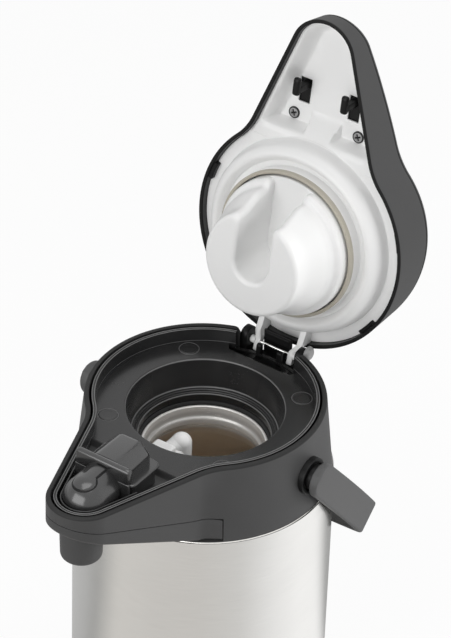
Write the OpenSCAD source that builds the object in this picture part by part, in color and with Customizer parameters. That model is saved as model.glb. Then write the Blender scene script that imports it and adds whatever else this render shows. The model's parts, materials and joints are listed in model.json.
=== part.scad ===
// Pump vacuum flask with its lid open and its strap handle hanging behind the body.
// Origin: centre of the foot pad on the floor. The nose points to -Y, the lid hinge is at +Y.

/* [Outline seen from above] */
// Outer radius of the collar and the lid at the rim
rim_r = 81; // [78:0.5:83]
// Distance from the flask axis to the centre of the nose's round tip
nose_l = 134.7; // [130:0.1:142]
// Radius of the nose's round tip
nose_r = 24.9; // [24:0.1:27]
// Angle between each flank of the nose and the centre plane
flank_angle = 19.05; // [18:0.05:20]
// Radius of the hollow where a flank runs into the round collar
flank_fillet = 46.5; // [42:0.5:52]

/* [Steel vessel] */
// Height of the collar rim above the floor
rim_z = 290; // [250:1:340]
// Thickness of the steel sheet
steel_t = 0.8; // [0.6:0.1:1.2]
// Width of the vacuum between shell and liner
vacuum_w = 7.5; // [6:0.5:12]
// Width of the gasket's seat, from the ledge in to the vessel's mouth
mouth_step = 3.5; // [3:0.1:3.7]
// Height of the vessel's lip above the collar's foot
lip_rise = 14.5; // [13:0.5:15.5]
// Depth of the bead in the neck
bead_w = 2; // [1.2:0.1:2.4]
// Drop of the liner's shoulder below the rim, where the full width starts
shoulder_depth = 90; // [80:1:110]

/* [Base] */
// Height of the plastic base cup's wall
base_h = 20; // [14:1:30]
// Wall and floor of the base cup
base_t = 2.6; // [2:0.1:4]
// Thickness of the rubber foot pad
pad_t = 2; // [1.5:0.5:4]
// Radius of the rubber foot pad
pad_r = 72; // [60:1:80]

/* [Collar] */
// Height of the collar
collar_h = 56.5; // [54:0.5:60]
// Wall of the collar
collar_wall = 3.4; // [2.6:0.1:3.6]
// Step from the steel shell in to the collar
shell_step = 1.7; // [1:0.1:2.5]
// Flare of the collar's round wall, from the rim down to its foot
collar_flare = 5.8; // [5:0.1:6.5]
// Wall of the tray inside the collar rim
tray_wall = 3.6; // [3:0.1:4]
// Depth of the deck below the rim
deck_depth = 10.7; // [10:0.1:12]
// Thickness of the deck
deck_t = 2.6; // [2:0.1:3.5]
// Depth of the nose floor below the rim
nose_floor_depth = 15; // [14:0.5:17]
// Distance of the deck's front edge behind the rim's radius
deck_back = 8; // [6:0.5:10]
// Width of the ring from the rim in to the well
well_in = 27.7; // [26:0.1:28]
// Draft of the well's wall
well_draft = 3.3; // [2.5:0.1:4]
// Height of the well's foot above the vessel's lip
well_rise = 10; // [9:0.5:12]
// Width of the step from the well's mouth in to the ledge
ledge_in = 8.6; // [7.5:0.1:8.8]
// Radius of the round plugs on the deck
plug_r = 6.5; // [5:0.1:7]
// Distance from the rim in to each plug's middle
plug_in = 15.4; // [14.5:0.1:16]

/* [Spout] */
// Distance of the cover's upright rear edges behind the rim's radius
cover_in = 17.4; // [15:0.1:19]
// Height of the cover's seam above the collar's foot at those edges
seam_rise = 15.1; // [13:0.1:17]
// Slope of the seam, rising to the nose
seam_tilt = 18.3; // [17:0.1:19]
// Slope of the nose's underside
under_tilt = 23.7; // [22.5:0.1:24.5]
// Distance of the nozzle in front of the nose's round centre
nozzle_out = 3; // [1:0.1:3]
// Radius of the nozzle at its root
nozzle_r = 14.6; // [13.5:0.1:15]
// Depth of the nozzle's mouth below the rim
nozzle_depth = 47; // [44:0.5:54]
// Outer radius of the outlet pipe
pipe_r = 6; // [5:0.1:6.5]

/* [Valve housing] */
// Radius of the capsule
capsule_r = 16; // [15:0.1:16.5]
// Height of the capsule's top above the rim
capsule_top = 12; // [11:0.1:13]
// Distance of the capsule's round centre behind the nose's round centre
capsule_in = 2.2; // [1:0.1:3.5]
// Half width of the cross flange
flange_x = 21.5; // [21:0.1:22]
// Distance of the cross flange's rear face behind the nose's round centre
flange_in = 23.7; // [22.5:0.1:24]
// Thickness of the cross flange
flange_t = 5.5; // [4:0.1:6]
// Height of the cross flange above the rim
flange_top = 16.5; // [15:0.1:16.8]
// Distance of the rear box in front of the deck's edge
box_gap = 9; // [7:0.5:11]
// Half width of the rear box
box_x = 15.5; // [14:0.1:16]
// Radius of the loose ball in the valve
ball_r = 5.5; // [5.3:0.1:6]
// Free travel of the ball
ball_travel = 4; // [2:0.5:5]

/* [Pump tube] */
// Outer radius of the rising tube
tube_r = 5; // [4:0.1:5.5]
// Distance of the rising tube's axis from the wall of the mouth
tube_inset = 14.2; // [13:0.1:16]
// Outer radius of the feed hose
hose_r = 3.4; // [3:0.1:3.5]
// Gap between the feed hose and the vessel's lip
hose_lift = 8.6; // [8:0.1:9]
// Outer radius of the elbow's thick end in the neck
elbow_r = 5.5; // [4.6:0.1:5.6]
// Height of the elbow's round head over the hose
elbow_rise = 6; // [5:0.1:7]

/* [Lid] */
// Angle of the open lid, from closed
lid_open = 98.14; // [90:0.01:105]
// Height of the lid's top edge at the nose
lid_h_nose = 21; // [21:0.5:26]
// Height of the lid's top edge at its crest
lid_h_crest = 45; // [44:0.5:48]
// Height of the lid's top edge at the hinge
lid_h_back = 29; // [27:0.5:33]
// Distance of the crest in front of the flask axis
lid_crest = 50; // [45:1:55]
// Draft of the lid's wall, drawn in over its height
lid_draft = 3.8; // [3:0.1:4.2]
// Wall of the lid
lid_wall = 2.6; // [2.2:0.1:3]
// Height of the white liner's floor above the rim
liner_z = 5; // [4.5:0.1:6]
// Thickness of the white liner
liner_t = 2; // [1.8:0.1:2.2]
// Height of the liner's floor in the nose
liner_nose_z = 18.5; // [18:0.1:19]
// Width of the liner's flat floor, from the rim in to the round bulge
bulge_in = 11.5; // [10:0.1:12]
// Depth of the bulge's crest below the rim
bulge_depth = 9.3; // [8.5:0.1:9.6]
// Radius of the hinge pin
pin_r = 2.5; // [2:0.1:3]
// Distance of the hinge axis behind the rim
hinge_out = 1.07; // [0.8:0.01:1.5]
// Depth of the hinge axis below the rim
hinge_drop = 10.2; // [9.5:0.1:11]
// Half width of the hinge notch
notch_x = 25; // [24:0.5:26]

/* [Pump] */
// Gap between the well's mouth and the cup's skirt
cup_in = 4.4; // [4.3:0.1:5.5]
// Step from the cup's skirt in to its waist
cup_waist = 4.9; // [4.5:0.1:6]
// Taper from the cup's waist in to its front face
cup_taper = 8.6; // [8:0.1:9]
// Reach of the cup's front face below the vessel's lip
cup_reach = 15; // [13:0.5:16]
// Half width of the slot in the cup
slot_x = 13; // [12:0.1:14]
// Gap between the cup's skirt and the push button's side, seen from above
button_in = 0.5; // [-1:0.1:3]
// Height of the push button's top above the rim
button_top = 56; // [54:0.5:60]
// Travel of the push button
button_travel = 25; // [20:0.5:25]
// Gap between the bellows and the cup
bellows_gap = 3.6; // [2.5:0.1:6]
// Number of folds of the bellows
bellows_folds = 6; // [4:1:8]

/* [Handle] */
// Angle of the hanging handle below the horizontal
handle_rest = 47.5; // [46:0.5:49]
// Width of the strap
strap_w = 24; // [20:0.5:26]
// Thickness of the strap
strap_t = 5.4; // [4.5:0.1:6]
// Depth of the handle's pivots below the rim
pivot_drop = 29.5; // [28:0.5:31]
// Distance of the pivots behind the flask axis
pivot_back = 1; // [0:0.5:3]
// Radius of the round boss behind each arm
boss_r = 13; // [12:0.5:14]
// Rise of the grip's arch over its corners
grip_rise = 17; // [14:0.5:20]
// Distance of each corner of the grip inside the arm's outer face
grip_in = 17.1; // [15:0.1:19]

/* [Clearances] */
// Gap between pieces that move past each other
run_gap = 0.3; // [0.25:0.05:0.4]
// Radial gap of a pin in its bore
pin_gap = 0.05; // [0.03:0.01:0.09]
// Gap between the closed lid and the collar rim
lid_gap = 0.6; // [0.5:0.1:1]

/* [Hidden] */
$fn = 96;
far = 400;
eps = 0.05;
// Small overlap by which the outline's arcs and lines cross where they run into each other
cross = 0.03;

// Radii that follow the rim, from the steel shell in to the button
shell_r = rim_r + collar_flare + shell_step;
well_r = rim_r - well_in;
well_foot_r = well_r - well_draft;
ledge_r = well_r - ledge_in;
mouth_r = ledge_r - mouth_step;
bead_r = mouth_r - bead_w;
bulge_r = rim_r - bulge_in;
cup_r = well_r - cup_in;
cup_waist_r = cup_r - cup_waist;
cup_face_r = cup_waist_r - cup_taper;
button_r = cup_r - button_in;
tube_y = mouth_r - tube_inset;
plug_xy = (rim_r - plug_in) / sqrt(2);

// Depths below the rim that follow the collar's height
lip_depth = collar_h - lip_rise;
well_depth = lip_depth - well_rise;
hose_depth = lip_depth - hose_r - hose_lift;
cup_depth = lip_depth + cup_reach;
seam_drop = collar_h - seam_rise;

// Distances in front of the flask axis
deck_front = rim_r - deck_back;
cover_back = rim_r - cover_in;
nozzle_y = nose_l + nozzle_out;
capsule_y = nose_l - capsule_in;
flange_y = nose_l - flange_in;
box_back = deck_front + box_gap;

// Outline: both circles, the straight flanks and the hollow fillets keep their centres at any inset
nose_c = [0, -nose_l];
nose_reach = nose_r + flank_fillet;
rim_reach = rim_r + flank_fillet;
flank_n = [cos(flank_angle), -sin(flank_angle)];
flank_d = [sin(flank_angle), cos(flank_angle)];
flank_half = nose_l * cos(flank_angle);
flank_s = flank_half - sqrt(flank_half * flank_half - nose_l * nose_l - nose_reach * nose_reach
    - 2 * nose_reach * nose_l * sin(flank_angle) + rim_reach * rim_reach);
fillet_c = nose_c + nose_reach * flank_n + flank_s * flank_d;
nose_tip = nose_l + nose_r;

// Insets from the outer wall
tray_gap = 0.3;
tray_out = collar_wall + tray_gap;
tray_in = tray_out + tray_wall;

// Vessel
collar_foot_r = shell_r - shell_step;
shell_in_r = shell_r - steel_t;
liner_r = shell_in_r - vacuum_w;
neck_out_r = mouth_r + steel_t;
neck_gap = 0.5;
shell_neck_r = neck_out_r + neck_gap;
throat_r = mouth_r + 0.3;
bead_top = lip_depth + 9;
bead_foot = bead_top + 5;
throat_l = 23;
throat_depth = lip_depth + throat_l;
shell_foot = pad_t + base_t;
shell_bottom_z = shell_foot + 6;
liner_floor = shell_bottom_z + steel_t + vacuum_w;
liner_dish = 22;
shoulder_round = 2.2;
seat_r = collar_foot_r - collar_wall - 0.6;

// Deck and well
shelf_drop = nose_floor_depth + deck_t + 2.4;
shelf_t = 3;
shelf_in_r = well_r + 3.2;
shelf_out_r = rim_r - collar_wall / 2 + (collar_foot_r - rim_r) * shelf_drop / collar_h;
well_wall = 2.2;
ledge_step = 1.8;
ledge_lip = 3;
gasket_t = 2.4;
ledge_foot = lip_depth - gasket_t;
screw_r = 1.9;
screw_head_r = 3.7;
screw_head_h = 2.4;
screw_l = 14;
screw_boss_r = screw_r + 2.6;
screw_boss_h = 10;
plug_deep = 1;
plug_proud = 0.25;
plug_boss_r = plug_r + 2;
notch_front = rim_r - 19;

// Hinge
hinge_y = rim_r + hinge_out;
arm_x = 11.5;
arm_w = 5;
arm_hub_r = 5.8;
arm_root = 10;
lug_x = notch_x - 5.5;
lug_w = 5;
lug_r = 5.2;
bracket_t = 2.6;
bracket_front = rim_r - 17;
bracket_back = hinge_y + lug_r - 1.2;
pin_grip = 0.02;
knob_r = 3.8;
knob_w = 3.6;

// Spout
housing_z = -nose_floor_depth;
capsule_z = capsule_top - capsule_r;
box_top = flange_top - 0.5;
box_slant = 7.5;
skirt_t = 2.5;
inlet_y = box_back + 10;
stub_r = 5;
stub_drop = shelf_drop + 1;
hose_bend = 8;
hose_wall = 1;
tube_stop = 9;
elbow_gap = 2;
hose_way = hose_r + 2;
hose_start = ledge_r + 8;
hose_end = inlet_y - hose_bend;
channel_r = 3.2;
ball_gap = 0.9;
ball_room_r = ball_r + ball_gap;
ball_seat = capsule_z - 6.5;
pipe_bore = pipe_r - 1.5;
pipe_socket = 2.5;
ball_z = ball_seat + sqrt(ball_r * ball_r - pipe_bore * pipe_bore) + run_gap;
nozzle_draft = 0.8;
nozzle_wall = 3;
nozzle_round = 2.5;
nozzle_flange_r = nozzle_r + 3;
nozzle_head = nose_floor_depth + deck_t;
cover_wall = 3;
cover_floor = 1.6;
floor_gap = 0.1;
under_sink = 4;
under_drop = collar_h + under_sink;
cover_floor_drop = under_drop - cover_floor;
cover_cut_r = collar_foot_r - collar_wall;

// Handle
boss_face = collar_foot_r + 0.4;
hub_face = boss_face + 3.6;
arm_in = hub_face + run_gap;
arm_out = arm_in + strap_t;
hub_r = 9;
pivot_r = 5;
pivot_skin = 1.6;
grip_gap = 0.5;
grip_s = (shell_r + grip_gap + strap_w / 2 * sin(handle_rest)) / cos(handle_rest) + strap_t;
corner_s = grip_s - grip_rise;
grip_x = arm_out - grip_in;
corner_round = 10;
arch_r = (grip_x * grip_x + grip_rise * grip_rise) / (2 * grip_rise);
arch_c = [0, grip_s - arch_r];
bow_lean = 2.9;
bow_dx = arm_out - grip_x;
bow_chord = sqrt(bow_dx * bow_dx + corner_s * corner_s);
bow_r = bow_chord / (2 * sin(atan(bow_dx / corner_s) - bow_lean));
bow_c = [arm_out - bow_r * cos(bow_lean), -bow_r * sin(bow_lean)];
round_c = meet(bow_c, bow_r - corner_round, arch_c, arch_r - corner_round);

// Lid
crown = through([-nose_tip, lid_h_nose], [-lid_crest, lid_h_crest], [rim_r, lid_h_back]);
draft_h = lid_h_crest + 10;
draft_i = lid_draft / lid_h_crest;
liner_in = lid_wall + run_gap + draft_i * (liner_z + liner_t);
liner_nose_in = lid_wall + run_gap + draft_i * (liner_nose_z + liner_t);
bezel_r = button_r + 5.4;
bezel_bore = button_r + 0.6;
bezel_top = lid_h_crest + 4;
bezel_foot = lid_h_crest - 22;
button_skin = 3;
button_foot = button_top - 16;
stem_r = 14;
stem_in_r = stem_r - 3;
button_dish = 14;
button_edge = 5;
riser_y = deck_front - 1;
groove_r = bulge_r - 12.5;
carrier_out = well_r - 0.9;
carrier_in = cup_r + 1.7;
carrier_foot = 12;
seal_foot = 15;
seal_slope = (well_r - well_foot_r) / (well_depth - deck_depth);
seal_out = well_r - seal_slope * (seal_foot - deck_depth) - 0.4;
ledge_z = -4;
screw_x = 25.6;
screw_y = riser_y + 6.5;
recess_l = 1.2 * screw_head_r;
recess_w = 1;
screw_reach = 12;
post_r = 4.6;

// Cup and pump
slot_gap = 0.7;
socket_r = tube_r + 2;
slot_roof = hose_depth - elbow_rise - socket_r - slot_gap;
cup_floor = slot_roof - 3;
cup_step = seal_foot + 6;
cup_shoulder = cup_step + 10;
cup_cone = lip_depth + 3;
cup_wall = 2.4;
cup_chamfer_z = cup_depth - 5;
air_r = 5;
folded_h = 16;
plate_z = folded_h + button_travel - cup_floor;
plate_t = 3;
plate_plug = 12;
bellows_foot = -cup_floor;
bellows_r = cup_waist_r - cup_wall - bellows_gap;
bellows_wall = 1.2;
fold_deep = 8;
spring_r = 11.5;
spring_wire = 1.1;
spring_turns = 7;

// Latch
hook_x = 19;
hook_w = 5;
hook_y = riser_y + (flange_y - riser_y) * 9 / 13;
hook_t = 5;
hook_tip = flange_y - 0.5;
hook_foot = 4.4;
hook_h = 3.6;
hook_slot_w = 9;
hook_slot_l = 18;
latch_z = liner_nose_z + liner_t + run_gap;
latch_t = 2.6;
latch_front = flange_y + 7;
latch_back = hook_y - 7;
latch_travel = 6;
thumb_x = 13;
thumb_y = flange_y - 1;
thumb_l = 12;
thumb_proud = 3;
latch_wire = 0.6;
latch_coil_r = 3.4;
latch_turns = 6;
latch_coil_z = liner_nose_z + liner_t + latch_coil_r + latch_wire + run_gap;

function sq(x) = x * x;
// Meeting point, on the left of the line from a to b, of two circles with those centres
function meet(a, ra, b, rb) =
    let (d = norm(b - a), u = (b - a) / d, m = (d * d + ra * ra - rb * rb) / (2 * d),
         h = sqrt(ra * ra - m * m))
    a + m * u + h * [-u.y, u.x];
// Centre and radius of the circle through three points
function through(a, b, c) =
    let (k = 2 * ((a.x - c.x) * (b.y - c.y) - (b.x - c.x) * (a.y - c.y)),
         p = sq(norm(a)) - sq(norm(c)), q = sq(norm(b)) - sq(norm(c)),
         m = [(p * (b.y - c.y) - q * (a.y - c.y)) / k, (q * (a.x - c.x) - p * (b.x - c.x)) / k])
    [m.x, m.y, norm(a - m)];
// Height of the lid's crown above the rim at y
function crown_z(y) = crown.y + sqrt(sq(crown[2]) - sq(y - crown.x));
// Points of one coil turn's ring: angle, wire angle
function coil_point(r, wire, pitch, turn, a) =
    let (reach = r + wire * cos(a))
    [reach * cos(turn), reach * sin(turn), pitch * turn / 360 + wire * sin(a)];

module at_rim() {
    translate([0, 0, rim_z]) children();
}

module opened() {
    translate([0, hinge_y, rim_z - hinge_drop]) rotate([-lid_open, 0, 0])
        translate([0, -hinge_y, hinge_drop]) children();
}

module both_sides() {
    for (side = [0, 1]) mirror([side, 0, 0]) children();
}

module along_x(x0, x1, r) {
    translate([x0, 0, 0]) rotate([0, 90, 0]) cylinder(x1 - x0, r, r);
}

module along_y(y0, y1, r) {
    translate([0, y1, 0]) rotate([90, 0, 0]) cylinder(y1 - y0, r, r);
}

module tube(h, out_r, in_r) {
    difference() {
        cylinder(h, out_r, out_r);
        translate([0, 0, -1]) cylinder(h + 2, in_r, in_r);
    }
}

// Coil of round wire with closed ends, along +Z
module coil(r, wire, height, turns) {
    sides = 6;
    steps = turns * 8;
    step_turn = 360 / 8;
    pitch = (height - 2 * wire) / turns;
    rings = [for (k = [0:steps]) for (j = [0:sides - 1])
        coil_point(r, wire, pitch, k * step_turn, j * 360 / sides)];
    walls = [for (k = [0:steps - 1]) for (j = [0:sides - 1])
        let (a = k * sides + j, b = k * sides + (j + 1) % sides)
        each [[a, a + sides, b], [b, a + sides, b + sides]]];
    caps = [for (j = [1:sides - 2]) each [[0, j, j + 1],
        [steps * sides, steps * sides + j + 1, steps * sides + j]]];
    translate([0, 0, wire]) polyhedron(rings, concat(walls, caps));
}

// Area between the nose tip and the flask axis, out to the centres of the hollow fillets
module web_area() {
    polygon([nose_c, [fillet_c.x, nose_c.y], fillet_c, [0, 0], [-fillet_c.x, fillet_c.y],
        [-fillet_c.x, nose_c.y]]);
}

// Nose part of the outline: round tip, straight flanks and hollow fillets
module nose_outline(inset) {
    translate(nose_c) circle(nose_r - inset);
    difference() {
        web_area();
        both_sides() {
            translate(fillet_c) circle(flank_fillet + inset + 2 * cross);
            translate(nose_c) rotate(-flank_angle) translate([nose_r - inset - cross, -far / 2])
                square([far, far / 2 + flank_s]);
        }
    }
}

module outline(inset) {
    circle(rim_r - inset);
    nose_outline(inset);
}

// Outline drawn in from inset i0 at the foot to i1 at height h
module drafted(h, i0, i1) {
    lean = atan((i1 - i0) / h);
    cylinder(h, rim_r - i0, rim_r - i1);
    translate(nose_c) cylinder(h, nose_r - i0, nose_r - i1);
    difference() {
        linear_extrude(h) web_area();
        both_sides() {
            translate(fillet_c) cylinder(h, flank_fillet + i0 + 2 * cross, flank_fillet + i1 + 2 * cross);
            translate(nose_c) rotate([0, 0, -flank_angle]) translate([nose_r - i0 - cross, -far / 2, 0])
                rotate([0, -lean, 0]) translate([0, 0, -h]) cube([far, far / 2 + flank_s, 3 * h]);
        }
    }
}

// Places of the four plugs and their screws, at the height of the rim
module at_plugs() {
    for (x = [-1, 1]) for (y = [-1, 1]) translate([x * plug_xy, y * plug_xy, 0]) children();
}

// Half spaces of the spout cover: over its seam and over its underside
module over_slope(drop, tilt) {
    translate([0, -cover_back, -drop]) rotate([-tilt, 0, 0]) translate([-far / 2, -far, 0])
        cube([far, 2 * far, far]);
}

module front_of(y) {
    translate([-far / 2, -y - far, -far / 2]) cube([far, far, far]);
}

module outer_shell() {
    foot = shell_foot - rim_z;
    head = -collar_h - eps;
    color("silver") at_rim() rotate_extrude() polygon([
        [shell_in_r, foot], [shell_r, foot], [shell_r, head - shoulder_round],
        [shell_r - shoulder_round, head], [seat_r, head], [shell_neck_r + 4, -lip_depth - 6],
        [shell_neck_r + steel_t, -lip_depth - 4], [shell_neck_r + steel_t, -lip_depth],
        [shell_neck_r, -lip_depth], [shell_neck_r, -lip_depth - 4.4],
        [shell_neck_r + 3.7, -lip_depth - 7], [seat_r, head - steel_t],
        [shell_in_r - shoulder_round, head - steel_t], [shell_in_r, head - shoulder_round - steel_t]]);
}

module inner_liner() {
    floor_z = liner_floor - rim_z;
    t = steel_t;
    color("lightgray") at_rim() rotate_extrude() polygon([
        [mouth_r, -lip_depth], [shell_neck_r, -lip_depth], [shell_neck_r, -lip_depth - t],
        [neck_out_r, -lip_depth - t], [neck_out_r, -bead_top + t], [bead_r + t, -bead_top - 1],
        [bead_r + t, -bead_foot + 1], [throat_r + t, -bead_foot - 2], [throat_r + t, -throat_depth + t],
        [liner_r, -shoulder_depth + t], [liner_r, floor_z + liner_dish], [liner_r - liner_dish, floor_z],
        [0, floor_z], [0, floor_z + t], [liner_r - liner_dish - 0.3, floor_z + t],
        [liner_r - t, floor_z + liner_dish + 0.3], [liner_r - t, -shoulder_depth],
        [throat_r, -throat_depth], [throat_r, -bead_foot - 2.3], [bead_r, -bead_foot + 0.5],
        [bead_r, -bead_top - 0.5], [mouth_r, -bead_top + 1.5]]);
}

module shell_bottom() {
    color("silver") translate([0, 0, shell_bottom_z])
        cylinder(steel_t, shell_in_r - eps, shell_in_r - eps);
}

module base_cup() {
    out_r = shell_r + run_gap + base_t;
    color([0.2, 0.2, 0.21]) translate([0, 0, pad_t]) rotate_extrude() polygon([
        [0, 0], [out_r - 2, 0], [out_r, 2], [out_r, base_h - 1], [out_r - 1, base_h],
        [shell_r + run_gap, base_h], [shell_r + run_gap, base_t], [0, base_t]]);
}

module base_pad() {
    color([0.1, 0.1, 0.1]) cylinder(pad_t, pad_r, pad_r);
}

module collar_body(inset) {
    translate([0, 0, -collar_h]) cylinder(collar_h, collar_foot_r - inset, rim_r - inset);
    translate([0, 0, -collar_h]) linear_extrude(collar_h) nose_outline(inset);
}

module collar_shell() {
    color([0.3, 0.3, 0.31]) at_rim() {
        difference() {
            union() {
                difference() {
                    collar_body(0);
                    translate([0, 0, -collar_h - 1]) cylinder(collar_h + 2,
                        collar_foot_r - collar_wall, rim_r - collar_wall);
                    translate([0, 0, -collar_h - 1]) linear_extrude(collar_h + 2)
                        nose_outline(collar_wall);
                }
                collar_shelf();
                both_sides() handle_boss();
            }
            intersection() {
                front_of(cover_back);
                difference() {
                    translate([-far / 2, -far, -far]) cube([far, far, far]);
                    over_slope(seam_drop, seam_tilt);
                }
            }
            hinge_notch();
            both_sides() translate([0, pivot_back, -pivot_drop])
                along_x(rim_r - 10, hub_face + 1, pivot_r + pin_gap);
            at_plugs() translate([0, 0, -far / 4]) cylinder(far / 4, screw_r + eps, screw_r + eps);
        }
    }
}

module collar_shelf() {
    translate([0, 0, -shelf_drop - shelf_t]) tube(shelf_t, shelf_out_r, shelf_in_r);
    at_plugs() translate([0, 0, -shelf_drop - screw_boss_h])
        cylinder(screw_boss_h - eps, screw_boss_r, screw_boss_r);
}

module handle_boss() {
    translate([0, pivot_back, -pivot_drop]) {
        along_x(rim_r - 1, boss_face, boss_r);
        along_x(rim_r - 1, hub_face, hub_r);
    }
}

module hinge_notch() {
    translate([-notch_x, notch_front, -shelf_drop]) cube([2 * notch_x, far, far]);
}

module collar_deck() {
    head = 0.4;
    color([0.16, 0.16, 0.17]) at_rim() difference() {
        union() {
            translate([0, 0, -deck_depth - deck_t])
                linear_extrude(deck_depth + deck_t - head) difference() {
                    outline(tray_out);
                    outline(tray_in);
                }
            translate([0, 0, -deck_depth - deck_t]) linear_extrude(deck_t) difference() {
                outline(tray_in - eps);
                circle(well_r + 1);
                translate([-far / 2, -deck_front - far]) square([far, far]);
            }
            intersection() {
                translate([0, 0, -nose_floor_depth - deck_t])
                    linear_extrude(nose_floor_depth - deck_depth + deck_t) outline(tray_out);
                front_of(deck_front - deck_t);
                over_slope(cover_floor_drop - floor_gap, under_tilt);
                difference() {
                    translate([-far / 2, -far, -far / 2]) cube([far, far, far]);
                    translate([0, 0, -nose_floor_depth]) linear_extrude(far) intersection() {
                        outline(tray_in);
                        translate([-far / 2, -deck_front - far]) square([far, far]);
                    }
                }
            }
            well();
            at_plugs() translate([0, 0, -shelf_drop])
                cylinder(shelf_drop - deck_depth, plug_boss_r, plug_boss_r);
        }
        at_plugs() {
            translate([0, 0, -deck_depth - plug_deep]) cylinder(far, plug_r + eps, plug_r + eps);
            translate([0, 0, -deck_depth - plug_deep - screw_head_h])
                cylinder(far, screw_head_r + eps, screw_head_r + eps);
            translate([0, 0, -far]) cylinder(far, screw_r + eps, screw_r + eps);
        }
        hinge_notch();
        translate([0, -inlet_y, -far / 2]) cylinder(far, stub_r + eps, stub_r + eps);
        translate([0, -nozzle_y, -far / 2]) cylinder(far, pipe_r + eps, pipe_r + eps);
        translate([-hose_way, -far, -lip_depth - 1]) cube([2 * hose_way, far - ledge_r / 2,
            lip_depth + 1 - hose_depth + hose_way]);
    }
}

module well() {
    step_r = (well_foot_r + ledge_r) / 2;
    rotate_extrude() polygon([
        [well_r, -deck_depth], [well_foot_r, -well_depth], [step_r, -well_depth],
        [step_r - 0.4, -well_depth - ledge_step], [ledge_r, -well_depth - ledge_step],
        [ledge_r, -ledge_foot], [ledge_r + ledge_lip, -ledge_foot],
        [ledge_r + ledge_lip, -well_depth - ledge_step - 2], [well_foot_r + well_wall, -well_depth - 2],
        [well_r + well_wall, -deck_depth - deck_t], [well_r + well_wall, -deck_depth]]);
}

module deck_plugs() {
    color([0.13, 0.13, 0.14]) at_rim() at_plugs() translate([0, 0, -deck_depth - plug_deep])
        cylinder(plug_deep + plug_proud, plug_r, plug_r);
}

module deck_screws() {
    color("silver") at_rim() at_plugs() translate([0, 0, -deck_depth - plug_deep - screw_head_h]) {
        cylinder(screw_head_h, screw_head_r, screw_head_r);
        translate([0, 0, -screw_l]) cylinder(screw_l, screw_r, screw_r);
    }
}

module neck_gasket() {
    color([0.1, 0.1, 0.1]) at_rim() difference() {
        translate([0, 0, -lip_depth]) tube(gasket_t, ledge_r + ledge_lip, mouth_r + 0.6);
        translate([-hose_way, -far, -lip_depth - 1]) cube([2 * hose_way, far - ledge_r / 2, far]);
    }
}

module spout_cover() {
    color([0.3, 0.3, 0.31]) at_rim() difference() {
        intersection() {
            collar_body(0);
            front_of(cover_back);
            over_slope(under_drop, under_tilt);
        }
        over_slope(seam_drop + 0.25, seam_tilt);
        translate([0, 0, -far / 2]) cylinder(far, cover_cut_r, cover_cut_r);
        intersection() {
            translate([0, 0, -collar_h - 1]) linear_extrude(collar_h + 2) nose_outline(cover_wall);
            over_slope(cover_floor_drop, under_tilt);
        }
        translate([0, -nozzle_y, -far / 2]) cylinder(far, nozzle_r + 0.1, nozzle_r + 0.1);
    }
}

module spout_nozzle() {
    tip_r = nozzle_r - nozzle_draft;
    mouth = pipe_r + 0.4;
    head = -nozzle_head - floor_gap;
    color([0.3, 0.3, 0.31]) at_rim() intersection() {
        translate([0, -nozzle_y, 0]) rotate_extrude() polygon([
            [nozzle_r - nozzle_wall, head], [nozzle_flange_r, head], [nozzle_flange_r, head - 2],
            [nozzle_r, head - 2], [tip_r, -nozzle_depth + nozzle_round],
            [tip_r - nozzle_round, -nozzle_depth], [mouth, -nozzle_depth],
            [mouth, -nozzle_depth + 2], [nozzle_r - nozzle_wall, -nozzle_depth + 4]]);
        union() {
            translate([0, -nozzle_y, -far / 2]) cylinder(far, nozzle_r + eps, nozzle_r + eps);
            over_slope(cover_floor_drop - floor_gap, under_tilt);
        }
    }
}

module capsule(grow) {
    translate([0, 0, capsule_z]) {
        translate([0, -capsule_y, 0]) sphere(capsule_r + grow);
        along_y(-capsule_y, -flange_y, capsule_r + grow);
    }
}

module valve_housing() {
    color([0.12, 0.12, 0.13]) at_rim() difference() {
        union() {
            intersection() {
                capsule(0);
                translate([-far / 2, -far, housing_z]) cube([far, far, far]);
            }
            translate([0, -capsule_y, housing_z]) cylinder(capsule_z - housing_z, capsule_r, capsule_r);
            translate([-capsule_r, -capsule_y, housing_z])
                cube([2 * capsule_r, capsule_y - flange_y, capsule_z - housing_z]);
            cross_flange();
            translate([0, -box_back, 0]) rotate([90, 0, 0]) linear_extrude(flange_y - box_back + eps)
                polygon([[-box_x, housing_z], [-box_x, box_top - box_slant], [box_slant - box_x, box_top],
                    [box_x - box_slant, box_top], [box_x, box_top - box_slant], [box_x, housing_z]]);
            translate([-flange_x, -flange_y, -1]) cube([2 * flange_x, flange_y - box_back + 3, skirt_t]);
            translate([0, -inlet_y, -stub_drop]) cylinder(stub_drop + housing_z + 1, stub_r, stub_r);
        }
        translate([0, -inlet_y, -stub_drop - 1])
            cylinder(stub_drop + 1 + capsule_z, channel_r, channel_r);
        translate([0, 0, capsule_z]) along_y(-nozzle_y, -inlet_y, channel_r);
        translate([0, -nozzle_y, ball_seat])
            cylinder(ball_z + ball_r + ball_travel + 1 - ball_seat, ball_room_r, ball_room_r);
        translate([0, -nozzle_y, -far / 2]) cylinder(far / 2 + ball_seat + 1, pipe_bore, pipe_bore);
        translate([0, -nozzle_y, -far])
            cylinder(far + housing_z + pipe_socket, pipe_r + eps, pipe_r + eps);
    }
}

module cross_flange() {
    ear_z = hook_foot + hook_h + 0.6;
    difference() {
        translate([-flange_x, -flange_y - flange_t, housing_z])
            cube([2 * flange_x, flange_t + eps, flange_top - housing_z]);
        both_sides() translate([box_x, -flange_y - flange_t + 2, ear_z - 10]) cube([far, far, 10]);
    }
}

module valve_cap() {
    head_r = 7.6;
    neck_x = 4.4;
    color([0.2, 0.2, 0.21]) at_rim() difference() {
        intersection() {
            capsule(0.9);
            translate([0, 0, capsule_z + 4]) linear_extrude(far) union() {
                translate([0, -capsule_y - 2]) circle(head_r);
                translate([-neck_x, -capsule_y])
                    square([2 * neck_x, capsule_y - flange_y - flange_t - 1]);
            }
        }
        capsule(eps);
    }
}

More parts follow.
